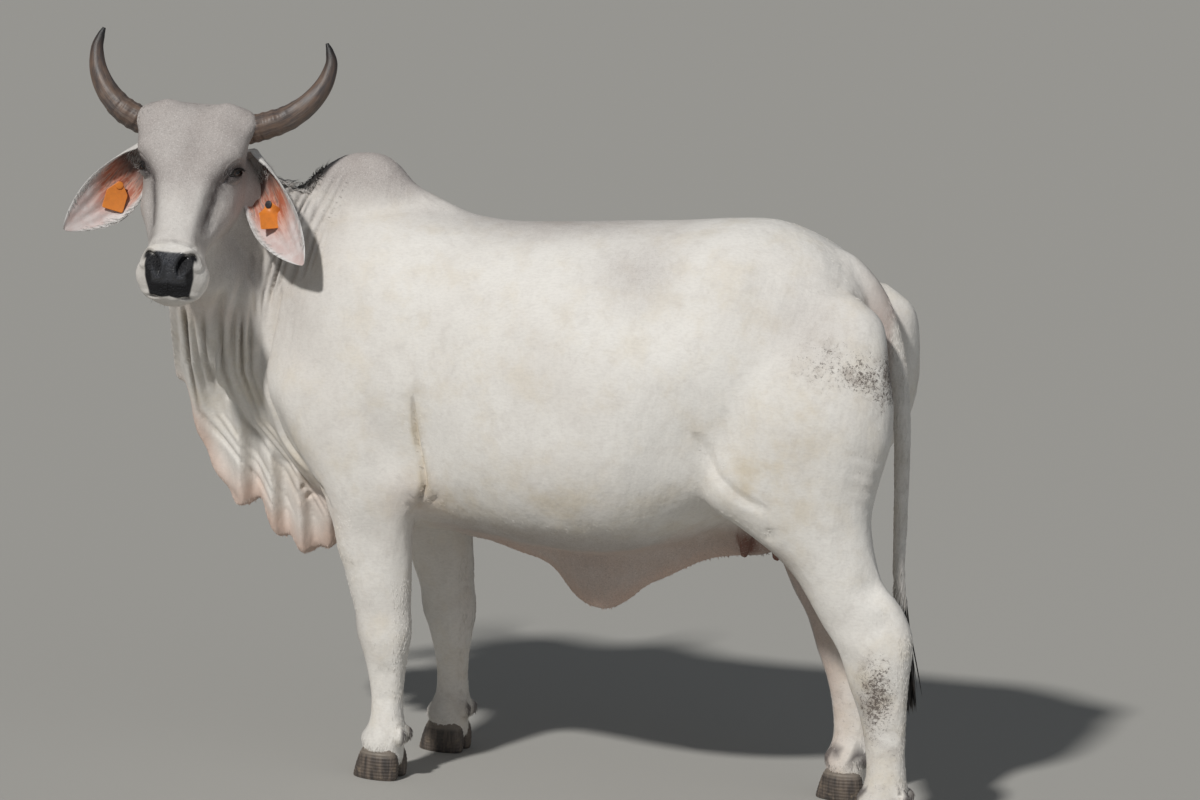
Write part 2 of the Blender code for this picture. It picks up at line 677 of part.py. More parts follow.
def head_flesh():
    forms = [
        head(),
        tube("neck_form", NECK[2:], 40, 40, (1, 0, 0.35)),
        tube("throat_form", THROAT[:4], 32, 36, (1, 0, 0.35)),
        tube("neck_side_form", NECK_SIDE[:3], 32, 30, (1, 0, 0.35)),
        *lids(),
    ]
    skin = fuse(forms, "head", HEAD_VOXEL, 6, 0)
    model_relief(skin.data, head_swellings(), carvings())
    return thin_out(skin, HEAD_TRIANGLES)


def wedge(planes, grow):
    """A convex cutter: the space behind every plane, each given by a point and an outward normal."""
    work = bmesh.new()
    bmesh.ops.create_cube(work, size=6.0)
    for point, normal in planes:
        normal = Vector(normal).normalized()
        rim = bmesh.ops.bisect_plane(
            work,
            geom=[*work.verts, *work.edges, *work.faces],
            plane_co=Vector(point) + normal * grow,
            plane_no=normal,
            clear_outer=True,
        )
        edges = [item for item in rim["geom_cut"] if isinstance(item, bmesh.types.BMEdge)]
        bmesh.ops.contextual_create(work, geom=edges)
    bmesh.ops.recalc_face_normals(work, faces=work.faces)
    bmesh.ops.triangulate(work, faces=work.faces)
    mesh = bpy.data.meshes.new("cutter")
    work.to_mesh(mesh)
    work.free()
    return new_object("cutter", mesh)


def box_planes(low, high):
    planes = []
    for axis in range(3):
        normal = Vector((0, 0, 0))
        normal[axis] = 1.0
        planes += [(low, -normal), (high, normal)]
    return planes


def largest_shell(obj):
    """Keeps only the closed surface with the most faces; slivers from the cuts go."""
    work = bmesh.new()
    work.from_mesh(obj.data)
    bmesh.ops.remove_doubles(work, verts=work.verts, dist=1e-6)
    unseen, shells = set(work.faces), []
    while unseen:
        seed = unseen.pop()
        shell, edge = [seed], [seed]
        while edge:
            face = edge.pop()
            for near in {other for vert in face.verts for other in vert.link_faces} & unseen:
                unseen.discard(near)
                shell.append(near)
                edge.append(near)
        shells.append(shell)
    shells.sort(key=len)
    gone = [face for shell in shells[:-1] for face in shell]
    bmesh.ops.delete(work, geom=gone, context="FACES")
    bmesh.ops.triangulate(work, faces=work.faces)
    bmesh.ops.recalc_face_normals(work, faces=work.faces)
    work.to_mesh(obj.data)
    work.free()


def combine(obj, other, operation):
    """Works `other` into obj by a Boolean; obj keeps its name and place in the scene."""
    tool = obj.modifiers.new("cut", "BOOLEAN")
    tool.operation = operation
    tool.solver = "EXACT"
    tool.object = other
    name = obj.name
    made = evaluated_copy(obj, name)
    bpy.data.objects.remove(other)
    largest_shell(made)
    return made


def part_off(rest, name, planes):
    """Parts a named piece from the flesh along flat cuts, and leaves the gap in the rest."""
    piece = new_object(name, rest.data.copy())
    piece = combine(piece, wedge(planes, 0.0), "INTERSECT")
    return combine(rest, wedge(planes, GAP), "DIFFERENCE"), piece


def swollen(obj):
    """A copy of obj grown by the gap, to cut its neighbour with."""
    copy = new_object(obj.name + "_grown", obj.data.copy())
    grow = copy.modifiers.new("grow", "DISPLACE")
    grow.strength, grow.mid_level = GAP, 0.0
    return evaluated_copy(copy, copy.name)


def fit_to(piece, carrier):
    return combine(piece, swollen(carrier), "DIFFERENCE")


def symmetric(path, side):
    """A point given out, forward and up of the head's carriage, for the cow's left or right."""
    along, left, brow = head_axes()
    forward = along * math.cos(HEAD_PITCH) + brow * math.sin(HEAD_PITCH)
    up = brow * math.cos(HEAD_PITCH) - along * math.sin(HEAD_PITCH)
    out, ahead, above = path
    return left * (-side * out) + forward * ahead + up * above


def horn(side):
    base = HORN[1][0]
    spread = HORN_SPREAD[0 if side == LEFT else 1]
    rows = []
    for out, ahead, above, radius in HORN:
        reach = out if out < base else base + (out - base) * spread
        rows.append((tuple(POLL + symmetric((reach, ahead, above), side)), radius))
    return tube("horn_left" if side == LEFT else "horn_right", rows, 11, 15, (0.2, -1, 0))


def ear_frame(side):
    """Root, hang, and the directions across the ear and out of its cup."""
    root = in_head(EAR_ROOT[0], -side * EAR_ROOT[1], EAR_ROOT[2])
    hang = symmetric(EAR_HANG[0 if side == LEFT else 1], side)
    facing = symmetric(EAR_FACING, side)
    line = hang.normalized()
    facing = (facing - line * facing.dot(line)).normalized()
    return root, hang, facing.cross(line), facing


def ear_middle(side, t):
    """The middle of the cup's mouth, which bows in towards the cheek and back; below 0 it is inside the head."""
    root, hang, across, facing = ear_frame(side)
    if t < 0:
        inside = in_head(EAR_ROOT[0] + 0.012, -side * (EAR_ROOT[1] - 0.035), EAR_ROOT[2] + 0.010)
        return root.lerp(inside, -t / 0.14)
    bow = math.sin(math.pi * min(1.0, max(0.0, t)))
    return root + hang * t + across * (0.018 * bow * side) - facing * (0.006 * bow)


def ear(side):
    """A leaf of skin curled into a cup: across it an arc, along it the hanging line of the ear."""
    _, _, across, facing = ear_frame(side)
    grid = []
    for t, half, depth, curl in smooth_through(EAR_SHAPE, 12):
        full = math.radians(curl)
        widest = math.sin(min(full, math.pi / 2))
        ring = []
        for share in np.linspace(-1, 1, 9):
            wide = half * math.sin(full * share) / widest
            back = depth * (1 - math.cos(full * share)) / (1 - math.cos(full))
            ring.append(ear_middle(side, t) + across * wide + facing * (back - depth))
        grid.append(ring)
    around = len(grid[0])
    faces = [
        (i * around + j, i * around + j + 1, (i + 1) * around + j + 1, (i + 1) * around + j)
        for i in range(len(grid) - 1)
        for j in range(around - 1)
    ]
    name = "ear_left" if side == LEFT else "ear_right"
    mesh = bpy.data.meshes.new(name)
    mesh.from_pydata([tuple(point) for ring in grid for point in ring], [], faces)
    sheet = new_object(name, mesh)
    wall = sheet.modifiers.new("thickness", "SOLIDIFY")
    wall.thickness, wall.offset = EAR_THICKNESS, 0.0
    made = evaluated_copy(sheet, name)
    largest_shell(made)
    return made


def ear_tag(side):
    """A plain plate with a pointed top, and the stud that holds it to the floor of the ear."""
    _, hang, _, facing = ear_frame(side)
    place = ear_middle(side, TAG_SHARE) - facing * 0.016
    down = Vector((0, 0, -1)) - facing * facing.dot(Vector((0, 0, -1)))
    down = Matrix.Rotation(math.radians(TAG_TURN[0 if side == LEFT else 1]), 3, facing) @ down.normalized()
    aside = facing.cross(down)
    width, height, thick = TAG
    corners = ((0.14, -0.10), (0.5, 0.30), (0.5, 0.98), (0.46, 1.0))
    outline = [*corners, *((-x, y) for x, y in corners[::-1])]
    rings = []
    for lift in (0.0, thick):
        rings.append([place + aside * (x * width) + down * (y * height) + facing * lift for x, y in outline])
    name = "ear_tag_left" if side == LEFT else "ear_tag_right"
    plate = loft(name, rings)
    ends = (place - facing * 0.018, place + facing * (thick + 0.003))
    stud = tube("stud", [(tuple(end), 0.005) for end in ends], 10, 2, tuple(hang))
    return combine(plate, stud, "UNION")


def eye(side):
    centre = in_head(EYE[0], -side * EYE[1], EYE[2])
    return ellipsoid("eye_left" if side == LEFT else "eye_right", centre, (EYE_RADIUS,) * 3, 14)


def claw(centre_x, centre_y, out):
    """One claw: a flat sole, a sloping wall, and a top that runs up into the foot."""
    rings = []
    for z, front, back, half in (
        (0.000, -0.50, 0.46, 0.92),
        (0.010, -0.49, 0.48, 1.00),
        (0.034, -0.44, 0.49, 1.13),
        (0.060, -0.37, 0.48, 1.14),
        (0.085, -0.30, 0.45, 1.08),
        (0.105, -0.26, 0.42, 1.00),
    ):
        ring = []
        for angle in round_angles(12):
            away = math.cos(angle)
            x = (front + back) / 2 + (back - front) / 2 * power(away, 0.85)
            squeeze = 1.0 - 0.26 * max(0.0, -away) ** 2
            y = out * CLAW_WIDTH * 0.54 + half * CLAW_WIDTH / 2 * power(math.sin(angle), 0.8) * squeeze
            ring.append((centre_x + x * CLAW_LENGTH, centre_y + y, z))
        rings.append(ring)
    return loft("claw", rings)


def hoof(name, centre_x, centre_y):
    """Two claws joined at the heel and under the coronet, cleft in front."""
    foot = claw(centre_x, centre_y, -1)
    foot.name = name
    foot = combine(foot, claw(centre_x, centre_y, 1), "UNION")
    return foot


def coronet_planes(centre_x, centre_y):
    """The foot above this slope is leg, below it hoof: high at the toe, low at the heel."""
    half = CLAW_LENGTH / 2
    slope = Vector((CORONET_FRONT - CORONET_BACK, 0, 2 * half)).normalized()
    middle = (centre_x, centre_y, (CORONET_FRONT + CORONET_BACK) / 2)
    return [
        (middle, slope),
        ((centre_x - 0.16, 0, 0), (-1, 0, 0)),
        ((centre_x + 0.16, 0, 0), (1, 0, 0)),
        ((0, centre_y - 0.14, 0), (0, -1, 0)),
        ((0, centre_y + 0.14, 0), (0, 1, 0)),
    ]


def switch():
    """Flat tapered locks rooted in the tail's end, splayed a little and fused into one body."""
    dice = random.Random(7)
    core = tube(
        "tail_switch",
        (
            (tuple(SWITCH_TOP + Vector((0, 0, -0.004))), 0.0140),
            (tuple(SWITCH_TOP + Vector((0.006, 0, -0.070))), 0.0230),
            (tuple(SWITCH_TOP + Vector((0.014, 0, -0.150))), 0.0210),
            (tuple(SWITCH_TOP + Vector((0.020, 0, -0.215))), 0.0110),
            (tuple(SWITCH_TOP + Vector((0.024, 0, -0.250))), 0.0040),
        ),
        10,
        9,
        (1, 0, 0),
    )
    for k in range(SWITCH_LOCKS):
        turn = 2 * math.pi * (k * 0.382 % 1.0)
        start = 0.10 + 0.55 * k / SWITCH_LOCKS
        out = Vector((math.cos(turn), math.sin(turn), 0))
        wide = Vector((-math.sin(turn), math.cos(turn), 0))
        length = SWITCH_LENGTH * (1.0 - start) * dice.uniform(0.92, 1.05)
        rings = []
        for t, flare, width, thick in (
            (0.00, 0.004, 0.0050, 0.0050),
            (0.25, 0.017, 0.0090, 0.0060),
            (0.60, 0.024, 0.0080, 0.0050),
            (1.00, 0.022 + dice.uniform(-0.004, 0.006), 0.0016, 0.0014),
        ):
            drop = Vector((0.026 * (start + (1 - start) * t), 0, -SWITCH_LENGTH * start - length * t))
            centre = SWITCH_TOP + drop + out * flare * (1.0 - 0.35 * start)
            ring = [
                centre + wide * width * a + out * thick * b
                for a, b in ((-1, 0), (-0.3, 0.8), (0.5, 0.7), (1, 0), (0.2, -0.8))
            ]
            rings.append([tuple(point) for point in ring])
        core = combine(core, loft("lock", rings), "UNION")
    return core


SLOT_LOOKS = {
    "hide": ((0.80, 0.77, 0.72), 0.85, 0.0),
    "skin_fold": ((0.74, 0.66, 0.60), 0.80, 0.0),
    "horn": ((0.16, 0.13, 0.12), 0.45, 0.0),
    "hoof": ((0.14, 0.12, 0.11), 0.50, 0.0),
    "ear": ((0.74, 0.62, 0.56), 0.80, 0.0),
    "eye": ((0.03, 0.02, 0.02), 0.08, 0.0),
    "tag": ((0.85, 0.33, 0.05), 0.40, 0.0),
    "udder": ((0.48, 0.30, 0.25), 0.70, 0.0),
    "switch": ((0.05, 0.05, 0.05), 0.70, 0.0),
}
NODE_SLOTS = (
    ("head", "hide"), ("neck", "hide"), ("torso", "hide"), ("hump", "hide"), ("leg", "hide"),
    ("tail_switch", "switch"), ("tail", "hide"), ("dewlap", "skin_fold"), ("navel", "skin_fold"),
    ("udder", "udder"), ("horn", "horn"), ("hoof", "hoof"), ("ear_tag", "tag"), ("ear", "ear"), ("eye", "eye"),
)  # fmt: skip


def slot_of(name):
    return next(slot for start, slot in NODE_SLOTS if name.startswith(start))


def finish(pieces):
    """Materials, shading, the collection, and the origin under the middle of the cow."""
    home = bpy.data.collections.new("brahman_cattle")
    bpy.context.scene.collection.children.link(home)
    shift = Matrix.Translation((-MIDDLE_X, -MIDDLE_Y, 0.0))
    for piece in pieces:
        colour, roughness, metallic = SLOT_LOOKS[slot_of(piece.name)]
        piece.data.transform(shift)
        piece.data.materials.clear()
        piece.data.materials.append(material(piece.name, colour, roughness, metallic))
        piece.data.shade_smooth()
        piece.data.set_sharp_from_angle(angle=math.radians(60))
        for owner in list(piece.users_collection):
            owner.objects.unlink(piece)
        home.objects.link(piece)


def main():
    clear_scene()
    rest = body_flesh()
    pieces = []

    throat = [((-0.700, 0.0, 1.200), (0.911, 0.0, 0.411)), ((-0.628, -0.090, 1.050), (0.771, 0.434, 0.467))]
    below_jaw = ((0.0, 0.0, 1.205), (0.0, 0.0, 1.0))
    sides = [((0, -0.32, 0), (0, -1, 0)), ((0, 0.2, 0), (0, 1, 0))]
    rest, fold = part_off(rest, "dewlap", [*throat, below_jaw, *sides])

    along, _, brow = head_axes()
    nape = ((-0.619, -0.096, 1.345), (0.75, 0.62, -0.20))
    under_jaw = (tuple(in_head(0.160, 0.0, -0.292)), along * 0.37 - brow * 0.93)
    left_eye, right_eye = eye(LEFT), eye(RIGHT)
    head_space = [nape, under_jaw]
    face = combine(head_flesh(), wedge(head_space, 0.0), "INTERSECT")
    rest = combine(rest, wedge(head_space, GAP), "DIFFERENCE")
    pieces.append(combine(fold, wedge(head_space, GAP), "DIFFERENCE"))
    for ball in (left_eye, right_eye):
        face = fit_to(face, ball)
    pieces += [face, left_eye, right_eye]
    rest, neck = part_off(rest, "neck", [((-0.535, 0, 0), (1, 0, 0))])
    pieces.append(neck)

    belly = box_planes(Vector((0.05, -0.105, 0.30)), Vector((0.62, 0.105, 0.556)))
    rest, navel = part_off(rest, "navel_flap", belly)
    groin = box_planes(Vector((0.622, -0.082, 0.50)), Vector((0.865, 0.082, 0.705)))
    rest, bag = part_off(rest, "udder", groin)
    pieces += [navel, bag]

    stifle = ((0.62, 0.0, 0.60), (-0.52, 0.0, 0.855))
    for side, word in ((LEFT, "left"), (RIGHT, "right")):
        inner = ((0, side * 0.010, 0), (0, -side, 0))
        fore, hind = (0.0, 0.0) if side == LEFT else (RIGHT_FORE_STEP, RIGHT_HIND_STEP)
        elbow = [((0, 0, 0.585), (0, 0, 1)), ((0, side * 0.060, 0), (0, -side, 0)), ((-0.070, 0, 0), (1, 0, 0))]
        rest, foreleg = part_off(rest, f"leg_front_{word}", elbow)
        rest, hind_leg = part_off(rest, f"leg_hind_{word}", [stifle, inner, ((0.45, 0, 0), (-1, 0, 0))])
        for limb, end, x, y in (
            (foreleg, "front", -0.203 + fore, side * 0.164),
            (hind_leg, "hind", 1.048 + hind, side * 0.170),
        ):
            limb = combine(limb, wedge(coronet_planes(x, y), GAP), "DIFFERENCE")
            foot = combine(hoof(f"hoof_{end}_{word}", x, y), wedge(coronet_planes(x, y), 0.0), "INTERSECT")
            pieces += [limb, foot]

    rest, crown = part_off(rest, "hump", box_planes(Vector((-0.60, -0.2, 1.379)), Vector((-0.115, 0.2, 1.60))))
    pieces += [crown, rest]

    tail = tube("tail", TAIL, 10, 32, (0, 1, 0))
    tail = combine(tail, wedge([(tuple(SWITCH_TOP), (0, 0, -1))], 0.0), "INTERSECT")
    tail = fit_to(tail, rest)
    brush = combine(switch(), wedge([(tuple(SWITCH_TOP - Vector((0, 0, GAP))), (0, 0, 1))], 0.0), "INTERSECT")
    pieces += [tail, brush]

    for side in (LEFT, RIGHT):
        spike = fit_to(horn(side), face)
        flap = fit_to(fit_to(ear(side), face), neck)
        tag = fit_to(ear_tag(side), flap)
        pieces += [spike, flap, tag]
    finish(pieces)


main()
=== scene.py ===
"""Looks of a grey Brahman cow at life size: one skin with its short coat, horns, ears, eyes, claws and tags.

Forms are worked out in the cow's own measuring frame: it faces -X, its left is towards -Y and the
floor is at zero. Every finished mesh is then moved so that the middle of the cow is the origin.
"""

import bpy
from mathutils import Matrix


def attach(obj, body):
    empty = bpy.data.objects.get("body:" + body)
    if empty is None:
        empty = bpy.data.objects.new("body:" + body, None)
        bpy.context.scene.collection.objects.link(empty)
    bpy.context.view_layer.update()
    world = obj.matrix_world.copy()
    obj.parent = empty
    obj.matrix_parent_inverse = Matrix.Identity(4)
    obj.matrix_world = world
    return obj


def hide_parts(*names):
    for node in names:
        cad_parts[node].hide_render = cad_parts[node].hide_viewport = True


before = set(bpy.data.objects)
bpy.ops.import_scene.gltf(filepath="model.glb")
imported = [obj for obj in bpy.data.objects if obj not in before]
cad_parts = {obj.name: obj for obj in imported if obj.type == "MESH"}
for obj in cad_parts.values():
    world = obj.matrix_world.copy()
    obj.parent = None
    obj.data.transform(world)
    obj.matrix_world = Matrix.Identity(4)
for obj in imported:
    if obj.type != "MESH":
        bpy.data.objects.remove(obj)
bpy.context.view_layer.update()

import math

import bmesh
import bpy
import numpy as np
from mathutils import Matrix, Vector
from mathutils.bvhtree import BVHTree

MIDDLE = np.array((0.0715, -0.069, 0.0))  # the middle of the cow in its measuring frame
LEFT, RIGHT = -1, 1  # the cow's side, as the sign of Y
dice = np.random.default_rng(11)
NODES = sorted(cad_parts)

# Head: where the poll is and how the face is held
POLL = np.array((-0.692, -0.232, 1.607))
HEAD_YAW = math.radians(-77.0)
HEAD_PITCH = math.radians(56.0)
HEAD_ROLL = math.radians(-1.5)
EYE = np.array((0.158, 0.1005, -0.062))  # along the face, out, and above the brow
EYE_RADIUS = 0.0205

# Trunk: x, top, bottom, half width, height of the widest line
TRUNK = (
    (-0.575, 1.15, 0.9, 0.07, 1.02), (-0.545, 1.25, 0.79, 0.135, 0.99), (-0.47, 1.335, 0.69, 0.19, 0.96),
    (-0.35, 1.365, 0.62, 0.232, 0.95), (-0.19, 1.372, 0.596, 0.254, 0.93),
    (0.0, 1.352, 0.592, 0.288, 0.905), (0.15, 1.359, 0.58, 0.318, 0.885), (0.32, 1.374, 0.578, 0.33, 0.88),
    (0.46, 1.386, 0.605, 0.316, 0.92), (0.58, 1.4, 0.665, 0.285, 1.0), (0.69, 1.404, 0.735, 0.258, 1.06),
    (0.79, 1.376, 0.79, 0.235, 1.07), (0.87, 1.33, 0.84, 0.205, 1.08), (0.925, 1.262, 0.89, 0.16, 1.07),
    (0.955, 1.16, 0.95, 0.085, 1.05),
)
# Hump: x, top, half width
HUMP_BASE = 1.25
HUMP = (
    (-0.56, 1.33, 0.02), (-0.52, 1.392, 0.05), (-0.465, 1.44, 0.074), (-0.415, 1.476, 0.086),
    (-0.35, 1.492, 0.09), (-0.3, 1.486, 0.088), (-0.262, 1.462, 0.082), (-0.225, 1.425, 0.074),
    (-0.16, 1.396, 0.064), (-0.07, 1.362, 0.045), (0.02, 1.33, 0.02),
)
# Neck and throat: centre, half depth from crest to throat, half width
NECK = (
    (-0.28, 0.0, 1.04, 0.24, 0.15), (-0.42, -0.002, 1.11, 0.245, 0.15),
    (-0.55, -0.012, 1.19, 0.214, 0.128), (-0.63, -0.058, 1.272, 0.182, 0.112),
    (-0.68, -0.118, 1.35, 0.154, 0.102), (-0.706, -0.172, 1.424, 0.128, 0.096),
)
THROAT = (
    (-0.694, -0.205, 1.375, 0.05, 0.05), (-0.704, -0.212, 1.285, 0.084, 0.066),
    (-0.686, -0.176, 1.18, 0.106, 0.076), (-0.638, -0.11, 1.055, 0.118, 0.08),
    (-0.568, -0.045, 0.918, 0.112, 0.078), (-0.485, -0.01, 0.79, 0.092, 0.074),
    (-0.4, 0.0, 0.71, 0.072, 0.07),
)
NECK_SIDE = (
    (-0.7, -0.15, 1.345, 0.06, 0.06), (-0.706, -0.128, 1.24, 0.086, 0.086),
    (-0.68, -0.082, 1.12, 0.102, 0.102), (-0.62, -0.032, 0.99, 0.102, 0.102),
    (-0.53, 0.0, 0.87, 0.09, 0.09),
)
# Head: distance from the poll, line of the brow, depth, half widths of brow, cheek and jaw
HEAD = (
    (-0.032, -0.085, 0.08, 0.052, 0.05, 0.034), (-0.022, -0.046, 0.13, 0.096, 0.08, 0.05),
    (-0.002, -0.016, 0.19, 0.132, 0.098, 0.058), (0.025, -0.004, 0.215, 0.144, 0.108, 0.066),
    (0.068, 0.004, 0.25, 0.137, 0.113, 0.074), (0.118, 0.006, 0.272, 0.124, 0.12, 0.078),
    (0.16, 0.003, 0.276, 0.101, 0.121, 0.078), (0.205, -0.001, 0.262, 0.08, 0.116, 0.074),
    (0.255, -0.002, 0.226, 0.068, 0.107, 0.062), (0.31, -0.003, 0.178, 0.06, 0.086, 0.05),
    (0.362, -0.002, 0.144, 0.054, 0.069, 0.045), (0.396, 0.002, 0.132, 0.058, 0.074, 0.05),
    (0.422, -0.005, 0.122, 0.06, 0.083, 0.057), (0.446, -0.02, 0.104, 0.058, 0.082, 0.056),
    (0.466, -0.042, 0.082, 0.05, 0.072, 0.049), (0.481, -0.064, 0.056, 0.037, 0.053, 0.038),
    (0.491, -0.084, 0.034, 0.015, 0.023, 0.018),
)
# Legs, left one: height, front, back, half width, middle of the width
FORELEG = (
    (1.1, -0.4, -0.19, 0.05, 0.15), (0.95, -0.47, -0.15, 0.072, 0.172),
    (0.82, -0.445, -0.102, 0.076, 0.184), (0.71, -0.372, -0.104, 0.072, 0.184),
    (0.63, -0.338, -0.13, 0.062, 0.178), (0.555, -0.316, -0.134, 0.054, 0.172),
    (0.48, -0.298, -0.135, 0.049, 0.168), (0.4, -0.276, -0.137, 0.046, 0.165),
    (0.35, -0.264, -0.134, 0.048, 0.165), (0.305, -0.252, -0.141, 0.045, 0.164),
    (0.255, -0.238, -0.147, 0.037, 0.164), (0.2, -0.228, -0.15, 0.034, 0.164),
    (0.15, -0.228, -0.147, 0.035, 0.164), (0.118, -0.238, -0.14, 0.042, 0.164),
    (0.09, -0.252, -0.147, 0.05, 0.164), (0.072, -0.246, -0.146, 0.05, 0.164),
    (0.056, -0.24, -0.148, 0.047, 0.164), (0.04, -0.236, -0.154, 0.04, 0.164),
)
HIND_LEG = (
    (1.26, 0.68, 0.93, 0.045, 0.12), (1.18, 0.64, 1.0, 0.075, 0.14), (1.09, 0.6, 1.026, 0.096, 0.152),
    (1.01, 0.58, 1.04, 0.108, 0.158), (0.93, 0.57, 1.04, 0.11, 0.164), (0.845, 0.575, 1.02, 0.102, 0.168),
    (0.765, 0.61, 1.004, 0.09, 0.17), (0.705, 0.695, 1.008, 0.078, 0.17),
    (0.65, 0.778, 1.022, 0.067, 0.17), (0.6, 0.83, 1.05, 0.058, 0.17), (0.545, 0.868, 1.09, 0.05, 0.17),
    (0.495, 0.9, 1.113, 0.047, 0.17), (0.45, 0.934, 1.117, 0.047, 0.17), (0.41, 0.953, 1.113, 0.045, 0.17),
    (0.36, 0.97, 1.11, 0.041, 0.17), (0.305, 0.993, 1.109, 0.037, 0.17),
    (0.255, 1.008, 1.109, 0.035, 0.17), (0.2, 1.018, 1.11, 0.034, 0.17), (0.152, 1.02, 1.116, 0.036, 0.17),
    (0.118, 1.012, 1.12, 0.043, 0.17), (0.09, 1.0, 1.106, 0.05, 0.17), (0.072, 1.006, 1.105, 0.05, 0.17),
    (0.056, 1.012, 1.103, 0.047, 0.17), (0.04, 1.018, 1.098, 0.04, 0.17),
)
RIGHT_FORE_STEP, RIGHT_HIND_STEP = 0.036, -0.185  # how far back and forward the right feet stand
FORE_SWING, HIND_SWING = (0.8, 0.3), (1.25, 0.4)  # heights between which a moved foot takes its leg along

# Dewlap: x of the sheet, height of its root, height of its free edge
DEWLAP = (
    (-0.846, 1.24, 1.08), (-0.842, 1.25, 0.95), (-0.834, 1.25, 0.9), (-0.812, 1.25, 0.888),
    (-0.796, 1.24, 0.85), (-0.78, 1.23, 0.775), (-0.755, 1.21, 0.725), (-0.735, 1.19, 0.668),
    (-0.71, 1.16, 0.626), (-0.672, 1.11, 0.598), (-0.61, 1.02, 0.6), (-0.582, 0.97, 0.562),
    (-0.557, 0.93, 0.532), (-0.525, 0.88, 0.514), (-0.492, 0.83, 0.494), (-0.445, 0.77, 0.496),
    (-0.391, 0.72, 0.532), (-0.32, 0.69, 0.585), (-0.27, 0.68, 0.64),
)
DEWLAP_TURN = 0.195  # how far the top of the curtain follows the head to the left
DEWLAP_THICKNESS, DEWLAP_ROOT = 0.028, 0.074  # at the free edge, and the half width added at the root
PLEAT_VALLEYS = (-0.88, -0.697, -0.607, -0.522, -0.448, -0.372, -0.25)
# Navel flap: x, lowest point, half width at the root, height of the root inside the belly
NAVEL_FLAP = (
    (-0.12, 0.594, 0.02, 0.66), (-0.06, 0.576, 0.055, 0.66), (0.02, 0.566, 0.08, 0.66),
    (0.085, 0.554, 0.092, 0.655), (0.135, 0.54, 0.095, 0.655), (0.172, 0.515, 0.092, 0.655),
    (0.2, 0.482, 0.086, 0.655), (0.228, 0.456, 0.08, 0.655), (0.262, 0.442, 0.076, 0.655),
    (0.31, 0.437, 0.074, 0.655), (0.356, 0.46, 0.074, 0.657), (0.402, 0.5, 0.074, 0.662),
    (0.46, 0.532, 0.072, 0.676), (0.54, 0.574, 0.066, 0.708), (0.61, 0.592, 0.058, 0.744),
    (0.67, 0.6, 0.05, 0.776), (0.715, 0.612, 0.042, 0.798), (0.76, 0.64, 0.032, 0.81),
)
# Line of longer hair from the poll over the crest to the hump
CREST = (
    (-0.61, -0.12, 1.485), (-0.576, -0.098, 1.443), (-0.551, -0.07, 1.421), (-0.525, -0.035, 1.398),
    (-0.5, -0.006, 1.405), (-0.471, -0.002, 1.435), (-0.44, 0.0, 1.455),
)
UDDER, UDDER_HALF = (0.725, 0.0, 0.76), (0.105, 0.085, 0.095)
TEATS = ((-0.068, 0.034), (0.012, 0.036))  # fore and aft, out from the middle
TEAT_RADIUS = 0.012
TEAT_SHAPE = (  # how far back, share of the way out, height, share of the radius
    (0.004, 0.9, 0.69, 1.9), (0.002, 0.96, 0.662, 1.5), (0.0, 1.0, 0.635, 1.15), (0.0, 1.0, 0.604, 1.0),
    (0.0, 1.0, 0.598, 0.5),
)
# Tail: centre, radius
TAIL = (
    (0.78, 0.0, 1.29, 0.04), (0.846, 0.0, 1.306, 0.043), (0.905, 0.0, 1.274, 0.036),
    (0.946, -0.002, 1.222, 0.033), (0.98, -0.006, 1.15, 0.029), (1.004, -0.01, 1.07, 0.025),
    (1.022, -0.014, 0.96, 0.0205), (1.028, -0.016, 0.84, 0.018), (1.029, -0.012, 0.72, 0.016),
    (1.029, -0.008, 0.62, 0.014), (1.034, -0.004, 0.545, 0.0125), (1.04, -0.002, 0.51, 0.011),
)
DEWCLAW = (0.017, 0.014, 0.02)


def head_axes():
    """Rows: along the face to the muzzle, out to the cow's left, and up off the brow."""
    forward = Vector((math.cos(HEAD_YAW), math.sin(HEAD_YAW), 0.0))
    left = Vector((-forward.y, forward.x, 0.0))
    along = forward * math.cos(HEAD_PITCH) - Vector((0, 0, math.sin(HEAD_PITCH)))
    brow = forward * math.sin(HEAD_PITCH) + Vector((0, 0, math.cos(HEAD_PITCH)))
    tilt = Matrix.Rotation(HEAD_ROLL, 3, forward)
    return np.array([tilt @ along, tilt @ left, tilt @ brow])


FACE = head_axes()


def in_head(local):
    """Points given as (along, out, up) rows in the head's directions, put in the cow's frame."""
    return np.asarray(local, float) @ FACE + POLL


def to_head(points):
    return (points - POLL) @ FACE.T


def ease(value, low, high):
    """0 below low, 1 above high, and a smooth step between them; low may be above high."""
    t = np.clip((value - low) / (high - low), 0, 1)
    return t * t * (3 - 2 * t)


def bell(value, width, steepness=2):
    """exp(-(value / width)^steepness): 1 at zero, falling away to both sides."""
    return np.exp(-((value / width) ** steepness))


def gap(points, place):
    return np.linalg.norm(points - np.asarray(place), axis=1)


def unit(vectors):
    return vectors / np.maximum(np.linalg.norm(vectors, axis=-1, keepdims=True), 1e-9)


def head_box(local, start, side, low):
    """1 for points in the head and 0 away from it, with a smooth step at each wall of the box."""
    along, out, up = local.T
    walls = ease(along, start, 0.0) * ease(np.abs(out), side, 0.15) * ease(up, -0.34, low)
    return walls * ease(along, 0.62, 0.55)


def face_share(points):
    return head_box(to_head(points), -0.07, 0.19, -0.27)


def curve_between(a, b, c, d, t):
    """The Catmull-Rom curve from b to c at the share t, with a and d as the points beyond them."""
    return 0.5 * (2 * b + (c - a) * t + (2 * a - 5 * b + 4 * c - d) * t**2 + (3 * b - a - 3 * c + d) * t**3)


def way_along(path):
    """How far each point of a path is from its start, measured along it."""
    return np.r_[0, np.cumsum(np.linalg.norm(np.diff(path, axis=0), axis=1))]


